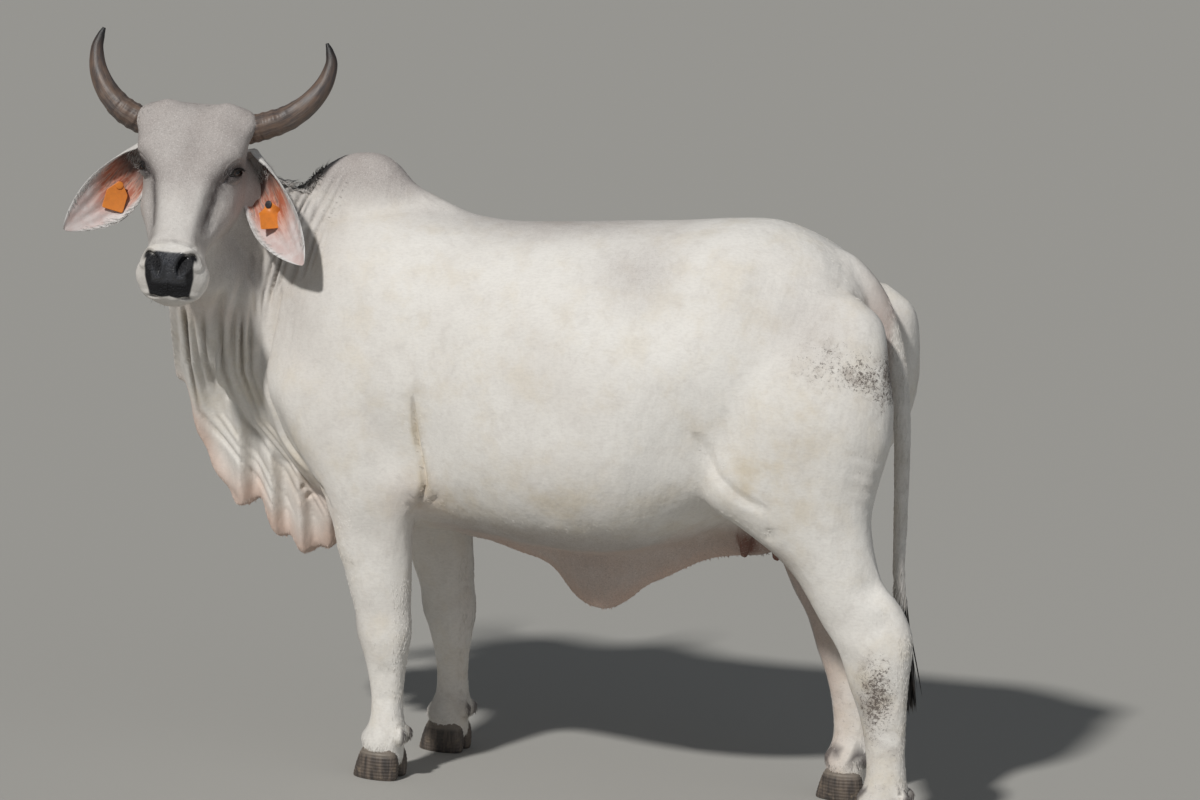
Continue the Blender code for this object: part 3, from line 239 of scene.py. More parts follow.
def smooth_through(stations, count):
    """Reads `count` rows from a Catmull-Rom curve through the stations, spaced evenly along it."""
    knots = np.asarray(stations, float)
    ends = np.vstack([2 * knots[0] - knots[1], knots, 2 * knots[-1] - knots[-2]])
    steps = way_along(knots)
    at = np.interp(np.linspace(0, steps[-1], count), steps, np.arange(len(knots)))
    span = np.minimum(at.astype(int), len(knots) - 2)
    t = (at - span)[:, None]
    a, b, c, d = (ends[span + k] for k in range(4))
    return curve_between(a, b, c, d, t)


def power(value, exponent):
    return np.sign(value) * np.abs(value) ** exponent


def edge_at(table, x, column):
    """A column of a table at x, read in straight lines between its rows."""
    rows = np.array(table)
    return np.interp(x, rows[:, 0], rows[:, column])


def grid_faces(rows, columns, round_columns):
    """Quads of a grid of points, four indices a row; the columns may close into a ring."""
    i = np.arange(rows - 1)[:, None]
    j = np.arange(columns if round_columns else columns - 1)[None, :]
    k = (j + 1) % columns
    quads = np.stack([i * columns + j, i * columns + k, (i + 1) * columns + k, (i + 1) * columns + j], -1)
    return quads.reshape(-1, 4)


def new_mesh(name, points, faces):
    mesh = bpy.data.meshes.new(name)
    mesh.from_pydata(np.asarray(points, float).reshape(-1, 3), [], [tuple(face) for face in faces])
    return mesh


def face_outwards(mesh):
    work = bmesh.new()
    work.from_mesh(mesh)
    bmesh.ops.recalc_face_normals(work, faces=work.faces)
    work.to_mesh(mesh)
    work.free()
    return mesh


def link(name, data):
    made = bpy.data.objects.new(name, data)
    bpy.context.scene.collection.objects.link(made)
    return made


def lofted(name, rings):
    """Skin over rings of points, shaped (rings, points round, 3), closed at both ends by a fan."""
    rings = np.asarray(rings, float)
    count, around = rings.shape[:2]
    points = np.vstack([rings.reshape(-1, 3), rings[0].mean(0), rings[-1].mean(0)])
    first, last = count * around, count * around + 1
    j = np.arange(around)
    k = (j + 1) % around
    caps = np.vstack([
        np.c_[np.full(around, first), k, j],
        np.c_[np.full(around, last), (count - 1) * around + j, (count - 1) * around + k],
    ])
    faces = [*grid_faces(count, around, True).tolist(), *caps.tolist()]
    return face_outwards(new_mesh(name, points, faces))


def turns(around):
    return np.linspace(0, 2 * math.pi, around, endpoint=False)[None, :]


def columns_of(rows):
    return [column[:, None] for column in np.asarray(rows).T]


def trunk(around=128, count=180):
    """Egg-shaped sections across X: height and width are powers of the cosine and sine of the turn."""
    x, top, bottom, half, widest = columns_of(smooth_through(TRUNK, count))
    up, out = np.cos(turns(around)), np.sin(turns(around))
    z = widest + np.where(up > 0, top - widest, widest - bottom) * power(up, 0.94)
    y = half * power(out, np.where(up > 0, 0.98, 0.86))
    return lofted("trunk", np.stack([x + 0 * z, y, z], -1))


def hump(around=64, count=90):
    """Tall oval sections across X, narrower towards the top."""
    x, top, half = columns_of(smooth_through(HUMP, count))
    up, out = np.cos(turns(around)), np.sin(turns(around))
    z = HUMP_BASE + (top - HUMP_BASE) * up
    return lofted("hump", np.stack([x + 0 * z, half * (1.0 - 0.18 * up) * power(out, 0.8), z], -1))


def tube_rings(stations, around, count, level):
    """Round or oval rings square to a path: rows are a centre and one or two half widths.

    The first half width lies as nearly along `level` as the path allows.
    """
    rows = smooth_through(stations, count)
    path, halves = rows[:, :3], rows[:, 3:]
    tangent = np.gradient(path, axis=0)
    aside = unit(np.cross(tangent, np.tile([level], (count, 1))))
    crest = unit(np.cross(aside, tangent))
    angle = turns(around)[..., None]
    deep, wide = halves[:, :1, None], halves[:, -1:, None]
    return path[:, None] + deep * np.cos(angle) * crest[:, None] + wide * np.sin(angle) * aside[:, None]


def tube(name, stations, around, count, level):
    return lofted(name, tube_rings(stations, around, count, level))


def leg(stations, side, step, swing, around=56, count=150):
    """Level oval sections; `step` moves the foot along X, easing in between the two heights of `swing`."""
    z, front, back, half, middle = columns_of(smooth_through(stations, count))
    shift = step * ease(z, *swing)
    away = (back - front) / 2 * power(np.cos(turns(around)), 0.92)
    y = side * middle + half * power(np.sin(turns(around)), 0.92)
    slope = -0.27 * away * ease(z, 0.13, 0.075)
    return lofted("leg", np.stack([(front + back) / 2 + shift + away, y, z + slope], -1))


def head(around=112, count=150):
    """Sections across the face through brow, cheek and jaw, joined by a closed Catmull-Rom curve."""
    rows = smooth_through(HEAD, count)
    along, line, depth, brow, cheek, jaw = rows.T
    zero = np.zeros(count)
    across = np.stack([zero, brow * 0.72, brow, cheek, jaw, zero, -jaw, -cheek, -brow, -brow * 0.72], 1)
    share = np.array((0.0, 0.02, 0.13, 0.46, 0.86, 1.0, 0.86, 0.46, 0.13, 0.02))
    outline = np.stack([across, line[:, None] - depth[:, None] * share], -1)
    t = np.linspace(0, 10, around, endpoint=False)
    span = t.astype(int)
    t = (t - span)[None, :, None]
    a, b, c, d = (outline[:, (span + k) % 10] for k in (-1, 0, 1, 2))
    ring = curve_between(a, b, c, d, t)
    local = np.concatenate([np.broadcast_to(along[:, None, None], (count, around, 1)), ring], -1)
    return lofted("head", in_head(local))


def dewlap(columns=320, deep=60):
    """A curtain of skin: x runs along the throat and t from its root to its free edge.

    Upright pleats push it aside by a cosine whose valleys are at the named places, deeper towards
    the edge, and the edge hangs lower under each ridge than under each valley. Two such sheets,
    a half width to the left and to the right, meet round the edge; the half width grows to the root.
    """
    x, root, edge = smooth_through(DEWLAP, columns).T
    t = np.linspace(0, 1, deep)[:, None]
    phase = np.interp(x, PLEAT_VALLEYS, np.arange(len(PLEAT_VALLEYS)))
    pitch = np.interp(x, np.array(PLEAT_VALLEYS)[:-1] + 0.04, np.diff(PLEAT_VALLEYS))
    ends = np.clip(np.minimum(x - x[0], x[-1] - x) / 0.06, 0, 1)
    ridge = -np.cos(2 * math.pi * phase)
    z = root + (edge + (0.018 * ((1 - ridge) / 2) ** 2 - 0.002) * ends - root) * t
    turn = DEWLAP_TURN * ease(z, 0.8, 1.2) * (0.35 + 0.65 * np.clip((-0.6 - x) / 0.22, 0, 1))
    wander = 0.35 * np.sin(6.1 * z + 4.0 * x)
    wave = np.cos(2 * math.pi * phase + wander) + 0.22 * np.cos(4 * math.pi * phase + 2.1 + wander)
    pleat = -np.minimum(0.24 * pitch, 0.02) * wave * ends * t**0.7 * (1 - 0.35 * ease(t, 0.8, 1.0))
    middle = np.stack([x + 0.36 * turn + 0.2 * pleat, -turn - pleat, z], -1)
    edge_round = 0.55 + 0.45 * np.sqrt(np.clip(1 - (np.clip(t - 0.94, 0, 1) / 0.06) ** 2, 0, 1))
    side_round = 0.6 + 0.4 * np.clip(np.minimum(x - x[0], x[-1] - x) / 0.02, 0, 1)
    half = DEWLAP_THICKNESS / 2 + DEWLAP_ROOT * np.clip(1 - t, 0, 1) ** 1.15 * ends
    half = half * edge_round * side_round
    aside = np.stack([0 * half, -half, 0 * half], -1)
    rings = np.concatenate([middle + aside, (middle - aside)[::-1]], 0)
    return lofted("dewlap", rings.transpose(1, 0, 2))


def navel_flap(around=64, count=150):
    """A wedge of loose skin under the belly, wide at its root and thin along its edge."""
    x, low, half, root = columns_of(smooth_through(NAVEL_FLAP, count))
    up = np.cos(turns(around))
    z = (root + low) / 2 + (root - low) / 2 * up
    taper = 0.26 + 0.74 * ((up + 1) / 2) ** 0.8
    sway = 0.01 * np.sin(31 * x + 2.0) * (1 - up) / 2
    return lofted("navel", np.stack([x + 0 * z, sway + half * taper * np.sin(turns(around)), z], -1))


def ball(centre, halves, around=40):
    """An ellipsoid from rings of latitude."""
    lat = np.linspace(0.02, math.pi - 0.02, around // 2)[:, None]
    ring = np.stack([
        halves[0] * np.sin(lat) * np.cos(turns(around)),
        halves[1] * np.sin(lat) * np.sin(turns(around)),
        halves[2] * np.cos(lat) + 0 * turns(around),
    ], -1)
    return lofted("ball", ring + np.asarray(centre))


def teats():
    made = []
    for fore, out in TEATS:
        for side in (LEFT, RIGHT):
            x, y = UDDER[0] + fore, side * out
            rows = [(x + back, y * near, z, TEAT_RADIUS * wide) for back, near, z, wide in TEAT_SHAPE]
            made.append(tube("teat", rows, 20, 24, (1, 0, 0)))
    return made


def steps_of(side):
    """How far back the fore and the hind foot of a side stand."""
    return (0.0, 0.0) if side == LEFT else (RIGHT_FORE_STEP, RIGHT_HIND_STEP)


def dewclaws():
    made = []
    for side in (LEFT, RIGHT):
        fore, hind = steps_of(side)
        for x, middle in ((-0.145 + fore, 0.164), (1.116 + hind, 0.17)):
            for out in (-0.02, 0.02):
                made.append(ball((x, side * middle + out, 0.108), DEWCLAW, 20))
    return made


def gathered(items, key, width=1, kind=np.float32):
    """The values of a Blender collection, in rows of `width`."""
    values = np.empty(len(items) * width, kind)
    items.foreach_get(key, values)
    return values.reshape(-1, width)


def read_points(mesh):
    return [gathered(mesh.vertices, key, 3).astype(float) for key in ("co", "normal")]


def write_points(mesh, points):
    mesh.vertices.foreach_set("co", points.astype(np.float32).ravel())
    mesh.update()


def reshape(mesh, change, *details):
    """Moves a mesh's points to where `change` puts them, from their places and normals."""
    write_points(mesh, change(*read_points(mesh), *details))


def settled(obj):
    """The mesh of obj with its modifiers worked in; obj is removed."""
    bpy.context.view_layer.update()
    graph = bpy.context.evaluated_depsgraph_get()
    mesh = bpy.data.meshes.new_from_object(obj.evaluated_get(graph), depsgraph=graph)
    bpy.data.objects.remove(obj)
    return mesh


def fused(meshes, voxel):
    """Joins overlapping closed forms as one surface by a voxel remesh."""
    whole = bmesh.new()
    for mesh in meshes:
        whole.from_mesh(mesh)
        bpy.data.meshes.remove(mesh)
    mesh = bpy.data.meshes.new("fused")
    whole.to_mesh(mesh)
    whole.free()
    skin = link("fused", mesh)
    remesh = skin.modifiers.new("fuse", "REMESH")
    remesh.mode = "VOXEL"
    remesh.voxel_size = voxel
    return settled(skin)


def eased(mesh, rounds, weights=None):
    """Smooths a mesh by drawing each point half way to its neighbours, `rounds` times, by weight."""
    skin = link("eased", mesh)
    smooth = skin.modifiers.new("ease", "SMOOTH")
    smooth.factor, smooth.iterations = 0.5, rounds
    if weights is not None:
        group = skin.vertex_groups.new(name="soft")
        for level in range(1, 11):
            chosen = np.flatnonzero(np.round(weights * 10) == level)
            group.add(chosen.tolist(), level / 10, "REPLACE")
        smooth.vertex_group = "soft"
    return settled(skin)


# Bone and muscle under the skin: x, out, z, reach, how far the skin is lifted or drawn in, and the share
# of its foot's step that takes it along
SWELLINGS = (
    (0.64, 0.24, 1.335, 0.06, 0.022, 0),  # hook bone
    (0.96, 0.125, 1.19, 0.05, 0.016, 0),  # pin bone
    (0.5, 0.28, 1.22, 0.1, -0.018, 0),  # hollow of the flank
    (0.79, 0.215, 1.23, 0.1, -0.012, 0),  # between hook and pin
    (0.86, 0.26, 1.02, 0.13, 0.012, 0.2),  # round of the thigh
    (0.64, 0.25, 0.79, 0.07, 0.016, 0.7),  # stifle
    (0.56, 0.27, 0.9, 0.1, -0.006, 0.5),  # fold before the stifle
    (-0.47, 0.19, 0.93, 0.08, 0.022, 0),  # point of the shoulder
    (-0.33, 0.17, 1.24, 0.11, 0.01, 0),  # top of the shoulder blade
    (-0.25, 0.24, 0.96, 0.1, 0.012, 0),  # the muscle above the elbow
    (-0.075, 0.25, 0.85, 0.075, -0.014, 0),  # crease behind the shoulder
    (-0.11, 0.225, 0.735, 0.045, 0.016, 0),  # elbow
    (1.028, 0.216, 0.6, 0.04, -0.016, 0.7),  # hollow before the hamstring
    (1.028, 0.124, 0.6, 0.04, -0.014, 0.7),
    (1.062, 0.214, 0.52, 0.026, -0.009, 0.8),
    (0.935, 0.208, 0.56, 0.034, 0.007, 0.8),
    (0.98, 0.204, 0.42, 0.02, -0.005, 1), (1.045, 0.21, 0.4, 0.022, 0.005, 1),
    (-0.255, 0.165, 0.35, 0.035, 0.006, 1),  # knee
    (-0.205, 0.2, 0.345, 0.022, 0.004, 1),
    (-0.15, 0.165, 0.385, 0.024, 0.005, 1),  # the bone behind the knee
    (1.02, 0.208, 0.455, 0.03, 0.005, 1),  # hock
    (-0.182, 0.198, 0.26, 0.022, -0.007, 1),  # between cannon and tendon
    (-0.182, 0.198, 0.2, 0.022, -0.006, 1), (1.076, 0.205, 0.33, 0.024, -0.008, 1),
    (1.078, 0.204, 0.26, 0.022, -0.008, 1), (1.078, 0.204, 0.2, 0.022, -0.006, 1),
    (-0.262, 0.165, 0.308, 0.02, -0.005, 1),  # below and above the knee
    (-0.288, 0.165, 0.41, 0.026, -0.005, 1),
    (-0.215, 0.212, 0.46, 0.04, 0.006, 1),  # muscles of the forearm
    (-0.3, 0.205, 0.56, 0.04, 0.007, 1), (-0.235, 0.222, 0.6, 0.034, -0.007, 1),
    (-0.18, 0.15, 0.125, 0.018, 0.003, 1),
    (0.975, 0.0, 1.08, 0.06, -0.05, 0),  # cleft under the tail
    (0.99, 0.0, 0.96, 0.06, -0.04, 0),
)


def swellings():
    """The swellings of both sides: centre, reach and lift."""
    spots = []
    for side in (LEFT, RIGHT):
        fore, hind = steps_of(side)
        for x, out, z, reach, lift, taken in SWELLINGS:
            spots.append(((x + taken * (fore if x < 0 else hind), side * out, z), reach, lift))
    return spots


def head_swellings():
    """The same for the head, in its own directions: along, out, up, reach, lift."""
    spots = []
    for out in (-1, 1):
        for along, across, up, reach, lift in (
            (0.122, 0.116, -0.022, 0.024, 0.009),  # brow over the eye
            (0.07, 0.128, -0.08, 0.03, -0.01),  # temple
            (0.235, 0.104, -0.08, 0.036, 0.007),  # cheekbone
            (0.262, 0.074, -0.03, 0.026, -0.007),  # dark hollow beside the nose bone
            (0.312, 0.062, -0.032, 0.026, -0.006),
            (0.205, 0.086, -0.028, 0.024, -0.006),
            (0.2, 0.1, -0.175, 0.05, 0.01),  # chewing muscle
            (0.418, 0.066, -0.012, 0.018, 0.006),  # wing of the nostril
            (0.425, 0.08, -0.075, 0.03, 0.007),  # upper lip
            (0.385, 0.03, 0.004, 0.02, 0.004),  # swelling above the nose pad
            (0.03, 0.125, -0.03, 0.03, 0.006),  # collar of the horn
            (-0.006, 0.074, -0.012, 0.026, 0.01),  # crown beside the middle of the poll
            (-0.01, 0.01, -0.012, 0.024, -0.004),
            (0.03, 0.112, -0.008, 0.026, -0.005),
            (0.09, 0.045, 0.004, 0.03, -0.004),
        ):
            spots.append((in_head((along, out * across, up)), reach, lift))
    return spots


def lifted(points, normals, spots):
    """Each point moves along its normal by the spot's lift times exp(-(distance / reach)^2)."""
    moved = points.copy()
    for centre, reach, lift in spots:
        away = gap(points, centre)
        near = away < 2.6 * reach
        moved[near] += normals[near] * (lift * bell(away[near], reach))[:, None]
    return moved


def nearest_on(points, line, spread):
    """For points near a line: which they are, how far they are from it, and the share along it."""
    line = np.asarray(line)
    close = np.all((points > line.min(0) - spread) & (points < line.max(0) + spread), axis=1)
    chosen = np.flatnonzero(close)
    best = np.full(len(chosen), 1e9)
    share = np.zeros(len(chosen))
    for k in range(len(line) - 1):
        step = line[k + 1] - line[k]
        t = np.clip(((points[chosen] - line[k]) @ step) / (step @ step), 0, 1)
        away = np.linalg.norm(points[chosen] - line[k] - t[:, None] * step, axis=1)
        nearer = away < best
        best[nearer] = away[nearer]
        share[nearer] = ((k + t) / (len(line) - 1))[nearer]
    return chosen, best, share


def creased(points, normals, lines):
    """Draws the skin in along each line and raises a lip to either side.

    At a distance d from a line of width w and depth h the skin moves by
    -h exp(-(d/w)^2) + 0.16 h exp(-((d - 2w)/w)^2), faded out towards both ends of the line.
    """
    moved = points.copy()
    for line, width, depth in lines:
        path = smooth_through(line, 30)
        chosen, away, share = nearest_on(points, path, 4 * width)
        fade = ease(share, 0.0, 0.18) * ease(share, 1.0, 0.82)
        profile = -bell(away, width) + 0.16 * bell(away - 2 * width, width)
        moved[chosen] += normals[chosen] * (depth * fade * profile)[:, None]
    return moved


# Folds and wrinkles on the near side: the line, its width, its depth
NECK_FOLDS = (
    (((-0.554, -0.15, 1.275), (-0.549, -0.167, 1.146), (-0.549, -0.172, 1.025), (-0.561, -0.139, 0.885),
     (-0.582, -0.095, 0.783)), 0.0085, 0.013),
    (((-0.5, -0.147, 1.175), (-0.514, -0.16, 1.068), (-0.534, -0.161, 0.95)), 0.007, 0.009),
    (((-0.447, -0.186, 1.12), (-0.452, -0.193, 1.065), (-0.46, -0.198, 1.005)), 0.006, 0.004),
    (((-0.585, -0.15, 1.27), (-0.572, -0.165, 1.15), (-0.57, -0.165, 1.0)), 0.0075, 0.008),
    (((-0.512, -0.06, 1.405), (-0.499, -0.132, 1.34), (-0.492, -0.142, 1.23)), 0.007, 0.0042),
    (((-0.495, -0.045, 1.405), (-0.485, -0.122, 1.339), (-0.478, -0.14, 1.235)), 0.006, 0.0036),
    (((-0.48, -0.045, 1.4), (-0.472, -0.111, 1.339), (-0.462, -0.142, 1.225)), 0.006, 0.0034),
    (((-0.466, -0.04, 1.4), (-0.46, -0.096, 1.346), (-0.44, -0.143, 1.235)), 0.006, 0.003),
    (((-0.534, -0.161, 0.975), (-0.505, -0.175, 0.878), (-0.478, -0.155, 0.799), (-0.42, -0.175, 0.735),
     (-0.36, -0.215, 0.7), (-0.309, -0.225, 0.634)), 0.011, 0.012),
)
THROAT_FOLDS = (
    (((-0.6, -0.215, 1.185), (-0.623, -0.224, 1.135), (-0.644, -0.209, 1.078), (-0.668, -0.172, 1.003),
     (-0.69, -0.11, 0.94), (-0.715, -0.047, 0.895)), 0.012, 0.015),
    (((-0.579, -0.179, 1.215), (-0.59, -0.202, 1.135), (-0.613, -0.183, 1.033), (-0.66, -0.1, 0.92),
     (-0.69, -0.032, 0.85)), 0.011, 0.013),
    (((-0.61, -0.24, 1.215), (-0.65, -0.262, 1.15), (-0.7, -0.262, 1.11)), 0.01, 0.007),
)
BRISKET_WRINKLES = (
    (((-0.494, -0.022, 0.646), (-0.466, -0.06, 0.668), (-0.438, -0.078, 0.675)), 0.0055, 0.006),
    (((-0.487, -0.024, 0.622), (-0.46, -0.04, 0.645), (-0.425, -0.07, 0.655)), 0.0055, 0.006),
    (((-0.41, -0.14, 0.7), (-0.375, -0.2, 0.712), (-0.33, -0.235, 0.705)), 0.0055, 0.006),
    (((-0.42, -0.1, 0.672), (-0.38, -0.17, 0.68), (-0.335, -0.215, 0.675)), 0.0055, 0.0055),
)
ELBOW_FOLDS = (
    (((-0.104, -0.27, 0.96), (-0.093, -0.254, 0.851), (-0.08, -0.251, 0.791), (-0.073, -0.247, 0.748),
     (-0.085, -0.233, 0.714), (-0.108, -0.207, 0.67)), 0.0052, 0.0125),
    (((-0.165, -0.238, 0.735), (-0.145, -0.235, 0.71), (-0.115, -0.207, 0.668)), 0.005, 0.004),
    (((-0.15, -0.246, 0.765), (-0.13, -0.24, 0.735), (-0.103, -0.221, 0.695)), 0.005, 0.0038),
    (((-0.04, -0.23, 0.72), (-0.07, -0.22, 0.69), (-0.109, -0.197, 0.66)), 0.0055, 0.0045),
    (((-0.178, -0.225, 0.7), (-0.155, -0.222, 0.68), (-0.12, -0.195, 0.65)), 0.005, 0.0036),
)
FLANK_FOLDS = (
    (((0.59, -0.264, 0.95), (0.644, -0.251, 0.854), (0.684, -0.263, 0.813), (0.728, -0.261, 0.784),
     (0.8, -0.26, 0.76)), 0.0115, 0.0065),
    (((0.84, -0.225, 0.745), (0.79, -0.24, 0.715), (0.76, -0.238, 0.68)), 0.01, 0.006),
)
THIGH_WRINKLES = (
    (((0.955, -0.254, 0.92), (0.995, -0.23, 0.906), (1.04, -0.175, 0.885)), 0.0065, 0.0022),
    (((0.96, -0.246, 0.88), (0.995, -0.22, 0.866), (1.035, -0.16, 0.848)), 0.0065, 0.0024),
    (((0.95, -0.243, 0.838), (0.99, -0.215, 0.828), (1.03, -0.155, 0.815)), 0.0065, 0.0022),
    (((0.945, -0.237, 0.797), (0.985, -0.208, 0.788), (1.02, -0.15, 0.778)), 0.0065, 0.002),
    (((0.935, -0.237, 0.757), (0.975, -0.205, 0.75), (1.008, -0.15, 0.742)), 0.0065, 0.0018),
)
TAIL_ROOT_FOLDS = (
    (((0.87, -0.045, 1.325), (0.877, -0.075, 1.3), (0.884, -0.115, 1.262)), 0.006, 0.005),
    (((0.853, -0.05, 1.334), (0.863, -0.09, 1.305), (0.868, -0.13, 1.265)), 0.006, 0.0036),
)


def both_sides(folds, step=0.0, swing=(1.3, 0.4)):
    """The folds, and their mirror image on the right, carried along with that side's foot."""
    made = list(folds)
    for line, width, depth in folds:
        line = np.array(line)
        shift = step * ease(line[:, 2], *swing)
        made.append((line * (1, -1, 1) + np.c_[shift, 0 * shift, 0 * shift], width, depth))
    return made


def all_folds():
    fore, hind = steps_of(RIGHT)
    return [
        *NECK_FOLDS,
        *THROAT_FOLDS,
        *both_sides(BRISKET_WRINKLES[2:]),
        *BRISKET_WRINKLES[:2],
        *both_sides(ELBOW_FOLDS, fore, FORE_SWING),
        *both_sides(FLANK_FOLDS, hind, HIND_SWING),
        *both_sides(THIGH_WRINKLES, hind, HIND_SWING),
        *both_sides(TAIL_ROOT_FOLDS),
    ]


# Height, and how far along a level line of sight the last fold before the shoulder lies there
FOLD_LINE = (
    (0.58, -0.4), (0.7, -0.49), (0.82, -0.6), (0.95, -0.645), (1.15, -0.64), (1.3, -0.605), (1.44, -0.535),
)


def fold_phase(points):
    """For points on the neck and throat: phase from the nearest fold, its depth, and where folds lie.

    The folds follow a leaning line, come unevenly, and fade out at their ends.
    """
    x, y, z = points.T
    level = x + 0.364 * np.clip(y, -0.3, 0.05)
    lean = edge_at(FOLD_LINE, z, 1) + 0.645
    across = level + 0.645 - lean * ease(level, -0.98, -0.62) + 0.006 * np.sin(6.0 * z + 9.0 * x)
    phase = across / np.where(across < 0, 0.033, 0.021)
    phase = phase + 0.26 * np.sin(1.7 * phase + 1.0) + 0.05 * np.sin(4.1 * phase + 3.0 * z)
    order = np.round(phase)
    offset = phase - order
    strength = 0.6 + 0.4 * np.sin(2.4 * order + 1.3) + 0.22 * np.sin(6.0 * z + 2.0 * order)
    depth = np.clip(strength, 0.2, 1.2)
    behind = 0.01 + 0.115 * ease(z, 1.08, 1.26)
    zone = ease(across - behind, 0.05, 0.0) * ease(across, -0.36, -0.26) * ease(z, 1.46, 1.41)
    zone = zone * (0.3 + 0.7 * ease(z, 0.82, 1.0)) * ease(z, 0.56, 0.66) * (1 - 0.55 * ease(z, 1.2, 1.32))
    return offset, depth, zone * (1 - face_share(points)) * ease(x, -0.3, -0.4)


def draped(points, normals):
    """The folds as relief: the skin moves by -d exp(-(p / w)^2) - c cos(2 pi p), p being the phase."""
    offset, depth, zone = fold_phase(points)
    zone = zone * ease(np.abs(normals[:, 0]), 0.97, 0.75)
    relief = -0.0135 * depth * bell(offset, 0.2) - 0.0024 * np.cos(2 * math.pi * offset)
    return points + normals * (zone * relief)[:, None]


ROUGH_VOXEL, FINE_VOXEL = 0.0075, 0.004


def face_tunnel(points, low, high, reach):
    """1 inside a round tunnel along the face, rising from low to high behind its start, and 0 elsewhere."""
    face = to_head(points)
    return ease(face[:, 0], low, high) * (np.linalg.norm(face * (0, 1, 1) - (0, 0, -0.1), axis=1) < reach)


def skin_forms():
    """The body as one smoothed form with its bones and muscles, and the thin forms that join it later."""
    body = [
        trunk(),
        hump(),
        tube("neck", NECK, 72, 120, (1, 0, 0.35)),
        tube("throat", THROAT, 56, 90, (1, 0, 0.35)),
        tube("neck_side", NECK_SIDE, 56, 90, (1, 0, 0.35)),
        head(),
        *(leg(FORELEG, side, steps_of(side)[0], FORE_SWING) for side in (LEFT, RIGHT)),
        *(leg(HIND_LEG, side, steps_of(side)[1], HIND_SWING) for side in (LEFT, RIGHT)),
        ball(UDDER, UDDER_HALF),
    ]
    skin = fused(body, ROUGH_VOXEL)
    points, _ = read_points(skin)
    soft = ease(points[:, 2], 0.62, 0.72) * (1 - face_tunnel(points, -0.02, 0.06, 0.25))
    skin = eased(skin, 20, soft)
    skin = eased(skin, 3)
    reshape(skin, lifted, swellings())
    return [skin, dewlap(), navel_flap(), *teats(), *dewclaws(), tube("tail", TAIL, 40, 200, (0, 1, 0))]


def skin_surface():
    skin = fused(skin_forms(), FINE_VOXEL)
    points, _ = read_points(skin)
    in_face = face_tunnel(points, 0.0, 0.08, 0.22)
    nape = bell(gap(points, (-0.66, -0.15, 1.4)), 0.16, 4) * (1 - in_face)
    throat_root = bell(points[:, 2] - 1.22, 0.07) * (points[:, 0] < -0.6) * (1 - in_face)
    rump = bell(gap(points, (0.88, 0.0, 1.3)), 0.09, 4)
    belly = bell(points[:, 2] - 0.6, 0.035) * (np.abs(points[:, 1]) < 0.13)
    belly *= (points[:, 0] > -0.15) & (points[:, 0] < 0.85)
    chest = bell(points[:, 0] + 0.42, 0.12) * ease(points[:, 2], 0.95, 0.65) * 0.6
    skin = eased(skin, 5)
    skin = eased(skin, 22, np.clip(nape + throat_root + rump + belly + chest, 0, 1))
    reshape(skin, lifted, head_swellings())
    reshape(skin, creased, all_folds())
    reshape(skin, draped)
    return skin


def thinned(mesh, budget, keep):
    """Decimates a mesh to about `budget` triangles, where `keep` is low; it leaves points at 1 alone."""
    skin = link("thinned", mesh)
    group = skin.vertex_groups.new(name="spare")
    for share in (0.0, 0.4):
        group.add(np.flatnonzero(np.isclose(keep, share)).tolist(), 1.0 - share, "REPLACE")
    thin = skin.modifiers.new("thin", "DECIMATE")
    thin.vertex_group = "spare"
    thin.vertex_group_factor = 10.0
    thin.ratio = budget / (2 * len(mesh.polygons))
    return settled(skin)


def refined(mesh, chosen):
    """Splits in two each edge between chosen points, and the faces beside it with it."""
    work = bmesh.new()
    work.from_mesh(mesh)
    work.verts.ensure_lookup_table()
    edges = [edge for edge in work.edges if chosen[edge.verts[0].index] and chosen[edge.verts[1].index]]
    bmesh.ops.subdivide_edges(work, edges=edges, cuts=1, use_grid_fill=True)
    bmesh.ops.triangulate(work, faces=[face for face in work.faces if len(face.verts) > 4])
    work.to_mesh(mesh)
    work.free()
    return mesh


def eye_axes():
    """Rows in the head's directions: along the slit to its inner corner, across it upwards, and outwards."""
    out = np.array((-0.1, 0.76, 0.64))
    out /= np.linalg.norm(out)
    slit = np.array((0.62, -0.55, 0.56))
    slit -= out * (slit @ out)
    slit /= np.linalg.norm(slit)
    return np.array([slit, np.cross(slit, out), out])


def eye_local(points, side):
    """Points beside an eye: along the slit to its inner corner, across it, out of the head, and how far."""
    local = (to_head(points) - EYE * (1, -side, 1)) * (1, -side, 1)
    a, u, out = (local @ eye_axes().T).T
    return a, u, out, np.linalg.norm(local, axis=1)


def from_eye(a, u, out, side):
    local = np.stack([a, u, out], -1) @ eye_axes()
    return in_head((local + EYE) * (1, -side, 1))


SLIT = 0.0215  # half the length of the eye's opening
LID = 0.0232  # radius of the lid's outside


def slit_edges(a):
    """Height of the upper and the lower lid's edge at a place along the slit."""
    arch = np.clip(1 - (a / SLIT) ** 2, 0, 1)
    return 0.0098 * arch**0.72 + 0.0012 * np.cos(a / SLIT * 1.5), -0.009 * arch**0.85


# Rings drawn in round the eye: depth, half width and half height, middle above the slit, the groove's width,
# and the heights between which it comes in
LID_RINGS = (
    (0.0034, 0.032, 0.021, 0.004, 0.13, -0.004, 0.01), (0.0026, 0.03, 0.0195, -0.003, 0.12, 0.002, -0.01),
    (0.0018, 0.044, 0.03, 0.004, 0.1, -0.002, 0.012),
)


